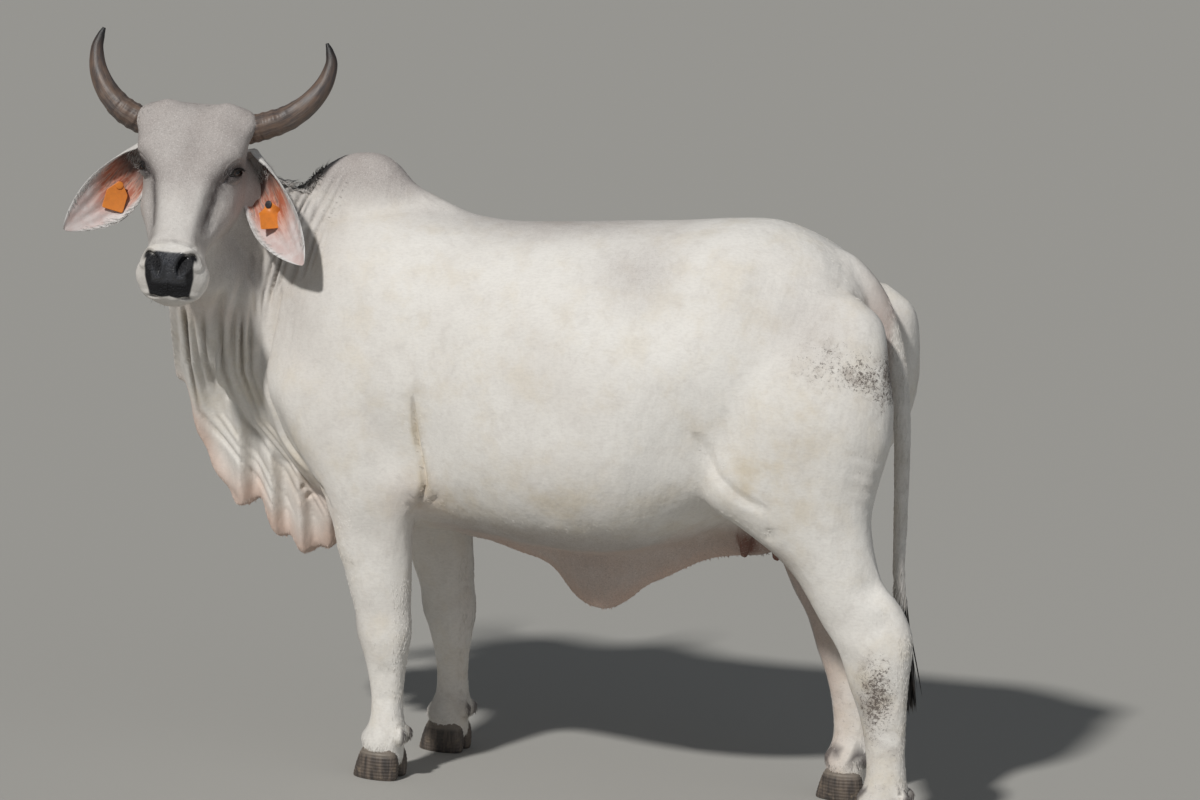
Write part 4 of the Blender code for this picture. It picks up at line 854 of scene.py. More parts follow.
def opened_eyes(points):
    """Swells the lids over each eye as a ball of their own, and sinks the skin behind the eye in the slit.

    The lid's height out of the head is the height of a ball on the eye's centre, joined to the skin
    by a smooth maximum; its folds and pouch are rings of drawn-in skin.
    """
    moved = points.copy()
    for side in (LEFT, RIGHT):
        a, u, out, away = eye_local(points, side)
        near = (away < 0.075) & (out > -0.03)
        a, u, out = a[near], u[near], out[near]
        radius = np.hypot(a * 0.9, u)
        lid = np.sqrt(np.clip(LID**2 - radius**2, 0, None)) - 0.07 * ease(radius, LID * 0.95, LID * 1.7)
        soft = 0.0025
        level = soft * np.logaddexp(out / soft, lid / soft)
        upper, lower = slit_edges(a)
        for depth, wide, high, middle, width, low, full in LID_RINGS:
            ring = np.hypot(a / wide, (u - middle) / high)
            level = level - depth * (bell(ring - 1.0, width) * ease(u, low, full))
        tear = np.exp(-(((a - 0.03) / 0.011) ** 2) - ((u + 0.003 + (a - 0.02) * 0.35) / 0.0035) ** 2)
        level = level - 0.004 * tear
        inside = np.minimum(upper - u, u - lower)
        inside = np.where(np.abs(a) < SLIT, inside, -0.004)
        hollow = np.sqrt(np.clip((EYE_RADIUS - 0.004) ** 2 - a**2 - u**2, 0, None)) - 0.002
        level = level + (hollow - level) * ease(inside, -0.0006, 0.0008)
        moved[near] = from_eye(a, u, level, side)
    return moved


NOSTRIL = (
    (0.443, 0.026, -0.027), (0.432, 0.031, -0.014), (0.421, 0.042, -0.006), (0.412, 0.053, -0.01),
    (0.418, 0.059, -0.027),
)
MOUTH = (
    (0.5, 0.0, -0.068), (0.487, 0.03, -0.072), (0.468, 0.056, -0.085), (0.438, 0.074, -0.095),
    (0.38, 0.068, -0.098),
)
MOUTH_LINE = np.vstack([np.array(MOUTH)[::-1] * (1, -1, 1), np.array(MOUTH)[1:]])


def carved_muzzle(points, normals):
    """Sinks each nostril along a curved line, cuts the mouth, and parts the nose pad down its middle."""
    moved = points.copy()
    for out in (-1, 1):
        line = smooth_through(in_head(np.array(NOSTRIL) * (1, out, 1)), 30)
        chosen, away, share = nearest_on(points, line, 0.03)
        width = 0.0062 + 0.0046 * np.sin(math.pi * np.clip(share, 0, 1))
        inward = np.array((-0.8, -0.42 * out, -0.1)) @ FACE
        moved[chosen] += inward * (0.027 * bell(away, width, 4))[:, None]
        moved[chosen] += normals[chosen] * (0.0035 * bell(away - 2.1 * width, 0.005))[:, None]
    chosen, away, share = nearest_on(points, smooth_through(in_head(MOUTH_LINE), 60), 0.03)
    fade = ease(share, 0, 0.1) * ease(share, 1, 0.9)
    cut = -bell(away, 0.0032) * 0.0085 + 0.0026 * bell(away - 0.009, 0.006)
    moved[chosen] += normals[chosen] * (fade * cut)[:, None]
    middle = in_head(((0.44, 0, -0.02), (0.468, 0, -0.045), (0.484, 0, -0.066)))
    chosen, away, share = nearest_on(points, smooth_through(middle, 20), 0.02)
    groove = 0.0022 * ease(share, 0, 0.5) * bell(away, 0.0022)
    moved[chosen] -= normals[chosen] * groove[:, None]
    return moved


FACE_FOLDS = (  # along the face, out, and up, with the width and depth of each fold
    (((0.205, 0.09, -0.036), (0.24, 0.082, -0.046), (0.285, 0.074, -0.048), (0.325, 0.066, -0.046)),
     0.01, 0.005),
    (((0.12, 0.14, -0.05), (0.108, 0.138, -0.068), (0.104, 0.13, -0.09)), 0.005, 0.0022),
    (((0.112, 0.14, -0.044), (0.098, 0.138, -0.066), (0.092, 0.13, -0.094)), 0.005, 0.0018),
    (((0.2, 0.118, -0.085), (0.225, 0.113, -0.098), (0.255, 0.104, -0.105)), 0.0065, 0.0026),
    (((0.36, 0.074, -0.09), (0.35, 0.076, -0.104), (0.348, 0.07, -0.122)), 0.005, 0.003),
    (((0.374, 0.078, -0.078), (0.362, 0.08, -0.086), (0.352, 0.078, -0.096)), 0.0045, 0.002),
    (((0.372, 0.046, 0.002), (0.384, 0.06, -0.012), (0.388, 0.072, -0.036)), 0.006, 0.0026),
    (((0.372, 0.0, 0.004), (0.375, 0.024, 0.003), (0.378, 0.044, -0.004), (0.38, 0.06, -0.02)),
     0.006, 0.0048),
)


def face_folds():
    made = []
    for line, width, depth in FACE_FOLDS:
        for out in (-1, 1):
            made.append((in_head(np.array(line) * (1, out, 1)), width, depth))
    return made


def face_zones(points, share=1.0):
    """Which points lie round the eyes, close to their slits, and on the muzzle; share shrinks the zones."""
    local = to_head(points)
    round_eyes = np.zeros(len(points), bool)
    slits = round_eyes.copy()
    for side in (LEFT, RIGHT):
        a, u, out, away = eye_local(points, side)
        outside = (out > -0.014) & (away < 0.07)
        round_eyes |= (np.hypot(a / 0.045, u / 0.036) < share) & outside
        slits |= (np.hypot(a / 0.029, u / 0.019) < share) & outside
    muzzle = (local[:, 0] > 0.35 + 0.03 * (1 - share)) & (local[:, 0] < 0.6) & (np.abs(local[:, 1]) < 0.11)
    muzzle &= (local[:, 2] > -0.17) & (local[:, 2] < 0.05)
    return round_eyes, slits, muzzle


def finished_skin(budget=146000):
    """The whole skin within a budget of triangles, with finer ones round the eyes and on the muzzle."""
    skin = skin_surface()
    reshape(skin, creased, face_folds())
    points, _ = read_points(skin)
    round_eyes, _, muzzle = face_zones(points)
    _, _, folds = fold_phase(points)
    skin = thinned(skin, budget, np.where(round_eyes | muzzle, 1.0, np.where(folds > 0.05, 0.4, 0.0)))
    for level in (1, 2):
        points, _ = read_points(skin)
        round_eyes, slits, muzzle = face_zones(points)
        skin = refined(skin, slits if level == 2 else (round_eyes | muzzle))
        points, _ = read_points(skin)
        round_eyes, slits, muzzle = face_zones(points, 0.88)
        skin = eased(skin, 2, (slits if level == 2 else (round_eyes | muzzle)).astype(float))
    points, normals = read_points(skin)
    write_points(skin, opened_eyes(carved_muzzle(points, normals)))
    return skin


def soft_spot(points, centre, reach):
    """1 at the centre, falling as exp(-(distance / reach)^2), with a reach along each axis."""
    return np.exp(-(((points - np.asarray(centre)) / np.asarray(reach)) ** 2).sum(1))


def along_line(points, line, width, spread=4.0):
    shade = np.zeros(len(points))
    chosen, away, _ = nearest_on(points, smooth_through(line, 24), spread * width)
    shade[chosen] = bell(away, width)
    return shade


# Soft spots of the coat's markings: which mark, its strength, the spot's centre and its reach
COAT_SPOTS = (
    ("grey", 0.7, (0.12, 0, 1.38), (0.32, 0.2, 0.055)),
    ("grey", 0.45, (0.42, -0.2, 1.29), (0.1, 0.2, 0.07)),
    ("grey", 0.3, (0.85, -0.2, 1.2), (0.1, 0.2, 0.1)),
    ("dark", 0.42, (1.02, -0.2, 0.33), (0.03, 0.08, 0.06)),
    ("pink", 0.45, (-0.4, -0.05, 0.64), (0.12, 0.22, 0.08)),
    ("pink", 0.25, (-0.1, -0.2, 0.7), (0.08, 0.1, 0.06)),
    ("stain_and_shade", 0.55, (-0.43, -0.2, 0.74), (0.1, 0.15, 0.1)),
    ("stain_and_shade", 0.45, (0.3, -0.33, 0.73), (0.25, 0.2, 0.08)),
    ("stain_and_shade", 0.5, (0.86, -0.26, 1.0), (0.1, 0.2, 0.09)),
    ("stain_and_shade", 0.4, (0.72, -0.27, 0.84), (0.12, 0.2, 0.09)),
    ("stain_and_shade", 1.0, (1.015, -0.2, 0.3), (0.045, 0.08, 0.11)),
    ("stain_and_shade", 0.8, (0.77, -0.27, 0.84), (0.12, 0.2, 0.11)),
    ("stain_and_shade", 0.75, (-0.02, -0.26, 0.7), (0.1, 0.12, 0.06)),
    ("stain_and_shade", 0.35, (-0.6, -0.15, 0.95), (0.12, 0.2, 0.15)),
    ("dirt", 1.0, (0.99, -0.2, 1.095), (0.075, 0.13, 0.05)),
    ("dirt", 0.55, (0.9, -0.25, 1.12), (0.12, 0.15, 0.09)),
    ("dirt", 1.0, (1.045, -0.2, 0.35), (0.05, 0.07, 0.11)),
    ("dirt", 1.0, (1.025, -0.14, 1.07), (0.045, 0.1, 0.085)),
)
# Dark lines of the face, along it and out from its middle: the cheek's stripe, pigment with painted shade in
# its hollow, and the fold above the nose, painted shade
CHEEK_STRIPE = ((0.19, 0.08, 0), (0.225, 0.073, 0), (0.262, 0.066, 0), (0.305, 0.06, 0), (0.35, 0.056, 0))
NOSE_FOLD = ((0.372, 0.0, 0), (0.375, 0.024, 0), (0.378, 0.044, 0), (0.38, 0.06, 0))


def strongest(mark_name, points, *shares):
    """The largest of the shares given and of the soft spots of a mark, point by point."""
    spots = [
        share * soft_spot(points, centre, reach)
        for name, share, centre, reach in COAT_SPOTS
        if name == mark_name
    ]
    return np.maximum.reduce([*shares, *spots])


def face_grey(local):
    """Grey of the face: darker beside the eyes, paler down its middle and over the poll."""
    along, beside = local[:, 0], np.abs(local[:, 1])
    mirrored = np.c_[along, beside, local[:, 2]]
    grey = 0.26 - 0.24 * soft_spot(local, (0.075, 0.0, 0.0), (0.11, 0.1, 0.06))
    grey = grey - 0.42 * soft_spot(local, (0.29, 0.0, 0.0), (0.12, 0.034, 0.04))
    grey = grey + 0.45 * ease(along, 0.12, 0.18) * ease(beside, 0.05, 0.085)
    grey = grey + 0.25 * soft_spot(mirrored, (0.1, 0.1, -0.03), (0.05, 0.04, 0.06))
    return grey - 0.25 * soft_spot(local, (0.0, 0.0, 0.0), (0.03, 0.12, 0.05))


def face_dark(points, local):
    """Dark lids and temples, the stripe from the eye's corner to the nostril, and the fold above the nose.
    Part of the patch round each eye is painted shade under the brow, part of the stripe is painted shade in
    its hollow, and the fold and a spot on the left temple are painted shade.
    """
    along, out, up = local.T
    beside = np.abs(out)
    shades = []
    for side in (LEFT, RIGHT):
        a, u, _, away = eye_local(points, side)
        shades.append(bell(np.hypot((a - 0.011) / 0.044, (u - 0.001) / 0.0215), 1, 4) * (away < 0.08))
        # wider patch round the eye: dark skin and painted shade under the brow
        shades.append(0.66 * (bell(np.hypot((a - 0.014) / 0.06, (u - 0.002) / 0.03), 1) * (away < 0.1)))
    flat = np.c_[along, beside, 0.5 * np.minimum(up + 0.055, 0)]
    temple = soft_spot(np.c_[along, beside, up], (0.085, 0.12, -0.05), (0.032, 0.03, 0.045))
    return np.maximum.reduce([
        *shades,
        # the stripe beside the nose bone: pigment and painted shade of its hollow
        0.9 * along_line(flat, CHEEK_STRIPE, 0.008) * ease(along, 0.36, 0.3),
        0.45 * along_line(flat, CHEEK_STRIPE, 0.019),
        # painted shade in the fold above the nose
        0.3 * along_line(flat, NOSE_FOLD, 0.005),
        0.14 * soft_spot(local, (0.13, 0.0, 0.0), (0.04, 0.03, 0.03)),
        0.36 * temple,
        # painted shade over the left temple
        0.26 * soft_spot(local, (0.09, 0.105, -0.025), (0.045, 0.03, 0.05)),
    ])


def foot_dark(points):
    """Dark knees and fetlocks, and the dewclaws."""
    x, y, z = points.T
    shades = []
    for side in (LEFT, RIGHT):
        fore, hind = steps_of(side)
        for share, centre, reach in (
            (0.42, (-0.262 + fore, side * 0.165, 0.35), (0.04, 0.04, 0.05)),
            (0.3, (-0.245 + fore, side * 0.165, 0.11), (0.05, 0.06, 0.035)),
            (0.3, (1.0 + hind, side * 0.17, 0.11), (0.05, 0.06, 0.035)),
        ):
            shades.append(share * soft_spot(points, centre, reach))
        for place, middle in ((-0.139 + fore, 0.164), (1.122 + hind, 0.17)):
            claw = (np.abs(np.abs(y - side * middle) - 0.02) < 0.016) & (np.abs(z - 0.108) < 0.02)
            shades.append(0.85 * claw * ease(x, place, place + 0.004))
    return np.maximum.reduce(shades)


def nose_marks(points, local, in_head_box):
    """Shares of the bare nose, of the white round it, and of the nostrils' dark, which is painted shade in
    the nostrils, on the pad's lower part and at its sides.
    """
    along, out, up = local.T
    beside = np.abs(out)
    top_edge = 0.402 + 0.004 * (beside / 0.05) ** 2
    wide = 0.0575 - 0.3 * np.clip(-0.036 - up, 0, 1)
    nose = ease(along - top_edge, -0.003, 0.003) * ease(beside - wide, 0.003, -0.003)
    nose = nose * ease(up + 2.4 * beside**2, -0.07, -0.066)
    nose = nose * in_head_box
    white = ease(along, 0.366, 0.384) * in_head_box * (1 - nose)
    # The pad's lower part and its sides, and the nostrils: painted shade.
    nostrils = [0.85 * nose * ease(up, -0.03, -0.046), 0.85 * nose * ease(beside, 0.034, 0.046)]
    for side in (-1, 1):
        line = in_head(np.array(NOSTRIL) * (1, side, 1) + (-0.008, 0, 0))
        nostrils += [along_line(points, line, 0.0085), nose * along_line(points, line, 0.017)]
    return nose, white, np.maximum.reduce(nostrils)


def red_marks(points):
    """Shares of brick red under the udder, under the tail and on the teats."""
    x, y, z = points.T
    reds = [
        0.55 * ease(z, 0.7, 0.645) * soft_spot(points, (0.7, 0.0, 0.65), (0.1, 0.07, 0.06)),
        soft_spot(points, (0.96, 0.0, 1.12), (0.05, 0.06, 0.13)) * ease(x, 1.0, 0.985),
    ]
    for fore, out in TEATS:
        away = np.hypot(x - UDDER[0] - fore, np.abs(y) - out)
        reds.append(ease(away, 0.032, 0.02) * ease(z, 0.672, 0.65))
    return np.maximum.reduce(reds)


def coat_marks(points):
    """The coat's marks at any points, as shares of grey, dark, pink, stain, dirt, red, nose and nostril; part
    of the grey, dark, pink and stain and all of the nostril share are painted shade, as marked below.
    """
    x, y, z = points.T
    local = to_head(points)
    along, up = local[:, 0], local[:, 2]
    in_head_box = head_box(local, -0.06, 0.2, -0.26)
    # Under the belly the coat is greyed and stained darker: painted shade.
    under = ease(z, 0.7, 0.62) * (np.abs(y) < 0.25) * ease(x, -0.15, 0.0) * ease(x, 0.88, 0.78)
    grey = strongest(
        "grey", points,
        face_grey(local) * in_head_box * ease(along, 0.4, 0.33),
        0.85 * ease(z, 1.34, 1.44) * ease(x, -0.08, -0.24),
        0.42 * ease(x, -0.25, -0.5) * ease(z, 0.85, 1.25),
        0.15 * ease(x, 0.8, 1.0) * (np.abs(y) < 0.06),
        0.72 * under,
    )
    offset, depth, zone = fold_phase(points)
    # The valleys of the neck's folds, darkened below with dark and stain: painted shade.
    valley = bell(offset, 0.17) * depth * zone
    elbow = smooth_through(ELBOW_FOLDS[0][0], 20)
    both = (points, points * (1, -1, 1))
    dark = strongest(
        "dark", points,
        face_dark(points, local),
        foot_dark(points),
        # dark along the crest: painted shade of its far side
        0.9 * along_line(points, (*CREST, (-0.4, 0.015, 1.476)), 0.017),
        # painted shade in the neck folds' valleys
        0.45 * valley,
        # dark in the elbow's crease: painted shade
        *(0.35 * along_line(seen, elbow, 0.0065) for seen in both),
    )
    above_dewlap, above_flap = z - edge_at(DEWLAP, x, 2), z - edge_at(NAVEL_FLAP, x, 1)
    rim = 0.85 * ease(above_dewlap, 0.13, 0.0) * ease(x, -0.235, -0.3) * ease(z, 0.98, 0.8) * (z > 0.42)
    flap = ease(above_flap, 0.07, 0.0) * (np.abs(y) < 0.12) * ease(x, -0.1, 0.05) * ease(x, 0.72, 0.6)
    pink = strongest(
        "pink", points,
        rim * (np.abs(y) < 0.1),
        0.85 * flap,
        0.4 * (np.abs(y) < 0.15) * ease(z, 0.72, 0.62) * ease(x, -0.2, 0.1) * ease(x, 0.95, 0.8),
        # pink-grey under the lower lip and chin: painted shade
        0.3 * ease(along, 0.36, 0.44) * in_head_box * ease(up, -0.08, -0.14),
    )
    stain_and_shade = strongest(
        "stain_and_shade", points,
        0.22 * ease(z, 0.5, 0.15),
        0.45 * under,
        # painted shade in the neck folds' valleys
        0.8 * valley,
        *(along_line(seen, elbow, 0.017) for seen in both),
    )
    dirt = strongest(
        "dirt", points,
        0.34 * ease(z, 0.5, 0.25) * ease(x, 0.7, 0.85),
        0.26 * ease(z, 0.26, 0.12) * ease(x, 0.7, 0.0),
        0.3 * (np.abs(y) < 0.06) * ease(x, 0.95, 1.0) * ease(z, 1.02, 0.88),
        0.2 * ease(x, 0.6, 0.9) * ease(z, 0.7, 1.0),
    )
    nose, white, nostrils = nose_marks(points, local, in_head_box)
    # Dark along the mouth's cut: painted shade.
    dark = np.maximum(dark * (1 - white * 0.6), 0.75 * along_line(local, MOUTH_LINE, 0.005))
    grey = grey * (1 - white) + 0.22 * white
    pink = np.clip(pink, 0, 1)
    return np.stack([grey, dark, pink, stain_and_shade, dirt, red_marks(points), nose, nostrils * in_head_box], -1)


def mark(mesh, marks):
    """Stores the eight shares as two colour attributes of the mesh's points."""
    for name, part in (("marks_a", marks[:, :4]), ("marks_b", marks[:, 4:])):
        layer = mesh.color_attributes.new(name, "FLOAT_COLOR", "POINT")
        layer.data.foreach_set("color", np.ascontiguousarray(part, np.float32).ravel())


def store(mesh, name, values):
    layer = mesh.attributes.new(name, "FLOAT", "POINT")
    layer.data.foreach_set("value", np.ascontiguousarray(values, np.float32).ravel())


class Wire:
    """A shader value that can be added, taken away, multiplied and divided like a number."""

    def __init__(self, tree, socket):
        self.tree = tree
        self.socket = socket

    def maths(self, operation, *terms):
        node = self.tree.nodes.new("ShaderNodeMath")
        node.operation = operation
        for slot, term in zip(node.inputs, terms):
            plug(self.tree, slot, term)
        return Wire(self.tree, node.outputs[0])

    def __add__(self, other):
        return self.maths("ADD", self, other)

    def __sub__(self, other):
        return self.maths("SUBTRACT", self, other)

    def __rsub__(self, other):
        return self.maths("SUBTRACT", other, self)

    def __mul__(self, other):
        return self.maths("MULTIPLY", self, other)

    def __truediv__(self, other):
        return self.maths("DIVIDE", self, other)

    def __pow__(self, other):
        return self.maths("POWER", self, other)

    __radd__ = __add__

    def least(self, other):
        return self.maths("MINIMUM", self, other)

    def sine(self):
        return self.maths("SINE", self)

    def root(self):
        return self.maths("SQRT", self)

    def ease(self, low, high):
        """0 below low and 1 above high; low may be above high."""
        node = self.tree.nodes.new("ShaderNodeMapRange")
        node.interpolation_type = "SMOOTHSTEP"
        flipped = low > high
        plug(self.tree, node.inputs["Value"], self)
        node.inputs["From Min"].default_value = min(low, high)
        node.inputs["From Max"].default_value = max(low, high)
        node.inputs["To Min"].default_value = 1.0 if flipped else 0.0
        node.inputs["To Max"].default_value = 0.0 if flipped else 1.0
        return Wire(self.tree, node.outputs[0])


def plug(tree, slot, value):
    if isinstance(value, Wire):
        tree.links.new(value.socket, slot)
    elif isinstance(value, (tuple, list)):
        slot.default_value = (*value, 1.0)[: len(slot.default_value)]
    else:
        slot.default_value = value


class Finish:
    """A material: its nodes come from `node`, and `paint` joins them to the shader."""

    def __init__(self, name):
        self.material = bpy.data.materials.new(name)
        self.material.use_nodes = True
        self.tree = self.material.node_tree
        self.shader = self.tree.nodes["Principled BSDF"]
        self.place = self.node("ShaderNodeTexCoord", {}, {}, "Object")

    def node(self, kind, settings, inputs, output=0):
        made = self.tree.nodes.new(kind)
        for key, value in settings.items():
            setattr(made, key, value)
        for key, value in inputs.items():
            plug(self.tree, made.inputs[key], value)
        return Wire(self.tree, made.outputs[output])

    def attribute(self, name, output="Fac"):
        return self.node("ShaderNodeAttribute", {"attribute_name": name}, {}, output)

    def parts(self, wire):
        split = self.tree.nodes.new("ShaderNodeSeparateColor")
        self.tree.links.new(wire.socket, split.inputs[0])
        return [Wire(self.tree, socket) for socket in split.outputs]

    def stretched(self, scale):
        return self.node("ShaderNodeMapping", {}, {"Vector": self.place, "Scale": scale})

    def noise(self, scale, detail=3.0, rough=0.55, where=None, distort=0.0):
        inputs = {"Vector": where or self.place, "Scale": scale, "Detail": detail, "Roughness": rough}
        return self.node("ShaderNodeTexNoise", {}, {**inputs, "Distortion": distort}, "Fac")

    def cells(self, scale):
        return self.node("ShaderNodeTexVoronoi", {}, {"Vector": self.place, "Scale": scale}, "Distance")

    def mix(self, share, one, other):
        made = self.tree.nodes.new("ShaderNodeMix")
        made.data_type = "RGBA"
        plug(self.tree, made.inputs[0], share)
        plug(self.tree, made.inputs[6], one)
        plug(self.tree, made.inputs[7], other)
        return Wire(self.tree, made.outputs[2])

    def layers(self, colour, *coats):
        """Lays colours over the first one, each by its own share."""
        for share, other in coats:
            colour = self.mix(share, colour, other)
        return colour

    def bump(self, height, distance, strength, under=None):
        inputs = {"Height": height, "Distance": distance, "Strength": strength}
        if under is not None:
            inputs["Normal"] = under
        return self.node("ShaderNodeBump", {}, inputs)

    def paint(self, **sockets):
        for name, value in sockets.items():
            plug(self.tree, self.shader.inputs[name.replace("_", " ")], value)
        return self.material


CREAM, BUFF = (0.79, 0.765, 0.725), (0.66, 0.575, 0.44)
ASH, CHARCOAL = (0.385, 0.345, 0.33), (0.05, 0.04, 0.042)
FLESH, BRICK = (0.64, 0.455, 0.37), (0.18, 0.065, 0.04)
SOIL, NOSE = (0.085, 0.065, 0.055), (0.01, 0.01, 0.012)


def coat_colour(finish):
    """The coat's colour from its stored shares, broken up by noise, and the shares that change its gloss."""
    grey, dark, pink = finish.parts(finish.attribute("marks_a", "Color"))
    stain_and_shade = finish.attribute("marks_a", "Alpha")
    dirt, red, nose = finish.parts(finish.attribute("marks_b", "Color"))
    nostril = finish.attribute("marks_b", "Alpha")
    broad = finish.noise(3.2, 4.0, 0.6)
    blotch = finish.noise(11.0, 5.0, 0.62)
    fine = finish.noise(55.0, 4.0, 0.65)
    strands = finish.noise(260.0, 2.0, 0.6, finish.stretched((0.35, 1.0, 0.8)))
    mottle = finish.noise(26.0, 5.0, 0.68, distort=0.5)
    smudge = finish.noise(19.0, 5.0, 0.7, distort=0.6)
    specks = finish.noise(150.0, 5.0, 0.8, distort=0.8)
    speckled = (specks + dirt * 0.24 + smudge * 0.2).ease(0.76, 0.84) * dirt.ease(0.12, 0.6)
    streaks = finish.noise(90.0, 3.0, 0.65, finish.stretched((1.0, 1.0, 0.16)))
    salt = finish.noise(330.0, 2.0, 0.6)
    colour = finish.layers(
        CREAM,
        (broad.ease(0.38, 0.72) * 0.55, (0.66, 0.62, 0.575)),
        (blotch.ease(0.46, 0.72) * 0.3, BUFF),
        (mottle.ease(0.48, 0.66) * 0.2, (0.56, 0.52, 0.48)),
        (stain_and_shade * blotch.ease(0.3, 0.68), BUFF),
        ((grey * (0.72 + blotch * 0.55)).least(1.0), ASH),
        ((pink * (0.55 + blotch * 0.8)).least(0.92), FLESH),
        ((dark * (0.72 + fine * 0.55)).least(1.0), CHARCOAL),
        ((red * (0.8 + fine * 0.3)).least(1.0), BRICK),
        ((smudge + dirt * 0.2).ease(0.52, 0.78) * dirt * 0.75, (0.3, 0.25, 0.215)),
        (speckled * 0.85, SOIL),
        (strands.ease(0.35, 0.75) * 0.12, (0.3, 0.28, 0.26)),
        ((streaks.ease(0.4, 0.75) * grey * 0.4).least(0.1), (0.3, 0.26, 0.24)),
        (salt.ease(0.5, 0.75) * grey * 0.45, (0.13, 0.118, 0.115)),
        (salt.ease(0.46, 0.28) * grey * 0.45, (0.72, 0.69, 0.67)),
    )
    return colour, nose, nostril, red, fine, strands


def skin_finish():
    """Short flat hair over skin, bare and wet on the nose."""
    finish = Finish("hide")
    colour, nose, nostril, red, fine, strands = coat_colour(finish)
    # The nose pad is a lighter, bluish black as painted sheen; where the nostril share lies it is NOSE black,
    # painted shade.
    colour = finish.layers(colour, (nose, (0.036, 0.038, 0.046)), ((nostril * 1.3).least(1.0), NOSE))
    lie = finish.noise(170.0, 3.0, 0.65, finish.stretched((0.25, 1.0, 0.6)))
    whorl = finish.noise(40.0, 3.0, 0.6)
    loose = finish.noise(7.5, 4.0, 0.52, finish.stretched((1.3, 1.0, 0.55)))
    slack = finish.bump(loose, 0.016, 0.7)
    hair_bump = finish.bump(lie * 0.6 + strands * 0.5 + whorl * 0.7, 0.0009, 0.6, slack)
    grain = finish.cells(150.0).ease(0.0, 0.6) + finish.cells(520.0) * 0.6
    nose_bump = finish.bump(grain, 0.0018, 0.8, hair_bump)
    blend = finish.node("ShaderNodeMix", {"data_type": "VECTOR"}, {0: nose, 4: hair_bump, 5: nose_bump}, 1)
    dull = (nostril * 1.2).least(1.0)
    return finish.paint(
        Base_Color=colour,
        Roughness=0.62 - nose * (1.0 - dull * 0.75) * 0.34 - red * 0.15 + fine * 0.1,
        Normal=blend,
        Coat_Weight=(nose * (1.0 - dull)).least(1.0),
        Coat_Roughness=0.2,
        Specular_IOR_Level=0.3,
    )


def horn_finish():
    """Fibrous horn: brown and ringed at the base, dark towards a black tip, worn pale in streaks."""
    finish = Finish("horn")
    t = finish.attribute("horn_length")
    across, above = finish.attribute("horn_across"), finish.attribute("horn_above")
    where = finish.node("ShaderNodeCombineXYZ", {}, {0: t * 4.0, 1: across, 2: above})
    drawn_out = finish.node("ShaderNodeMapping", {}, {"Vector": where, "Scale": (0.35, 3.0, 3.0)})
    fibres = finish.noise(4.0, 6.0, 0.68, drawn_out)
    patches = finish.noise(2.2, 4.0, 0.6, where)
    rings = (t * 210.0 + patches * 3.0).sine()
    colour = finish.layers(
        (0.15, 0.098, 0.072),
        (patches.ease(0.32, 0.68), (0.06, 0.05, 0.05)),
        (fibres.ease(0.45, 0.75) * 0.65 * t.ease(1.0, 0.55), (0.3, 0.24, 0.2)),
        (t.ease(0.2, 0.02) * 0.6, (0.23, 0.15, 0.105)),
        (t.ease(0.72, 0.98), (0.014, 0.013, 0.014)),
    )
    relief = finish.bump(rings * 0.5 * t.ease(0.55, 0.1) + fibres * 0.8, 0.0012, 0.6)
    return finish.paint(Base_Color=colour, Roughness=0.34 + fibres * 0.25, Normal=relief)


def hoof_finish():
    """Ringed and streaked horn, paler where it meets the hair, with dried mud."""
    finish = Finish("hoof")
    height = finish.attribute("hoof_height")
    streaks = finish.noise(90.0, 4.0, 0.6, finish.stretched((1.0, 1.0, 0.12)))
    rings = (height * 52.0 + finish.noise(20.0) * 4.0).sine()
    mud = finish.noise(40.0, 5.0, 0.7)
    colour = finish.layers(
        (0.05, 0.042, 0.038),
        (streaks.ease(0.35, 0.7), (0.15, 0.118, 0.095)),
        (height.ease(0.8, 1.0) * 0.6, (0.27, 0.23, 0.19)),
        (mud.ease(0.52, 0.7) * height.ease(0.9, 0.2) * 0.8, (0.23, 0.18, 0.13)),
    )
    relief = finish.bump(rings * 0.35 + streaks * 0.5 + mud * 0.4, 0.0014, 0.7)
    return finish.paint(Base_Color=colour, Roughness=0.42 + mud * 0.35, Normal=relief)


def eye_finish():
    """Dark brown iris round a pupil that is wider than high, under a wet clear coat."""
    finish = Finish("eye")
    across, above = finish.attribute("eye_across"), finish.attribute("eye_above")
    radius = (across * across + above * above).root()
    spokes = finish.noise(160.0, 3.0, 0.6)
    slot = (across / 0.36) ** 2.0 + (above / 0.2) ** 2.0
    colour = finish.layers(
        (0.06, 0.028, 0.014),
        (radius.ease(0.6, 0.68), (0.29, 0.215, 0.175)),
        (spokes.ease(0.4, 0.7) * radius.ease(0.62, 0.35) * 0.5, (0.11, 0.055, 0.028)),
        (radius.ease(0.52, 0.62) * radius.ease(0.7, 0.62) * 0.9, (0.01, 0.008, 0.007)),
        (slot.ease(1.15, 0.85), (0.004, 0.004, 0.006)),
    )
    return finish.paint(Base_Color=colour, Roughness=0.12, Coat_Weight=1.0, Coat_Roughness=0.02)


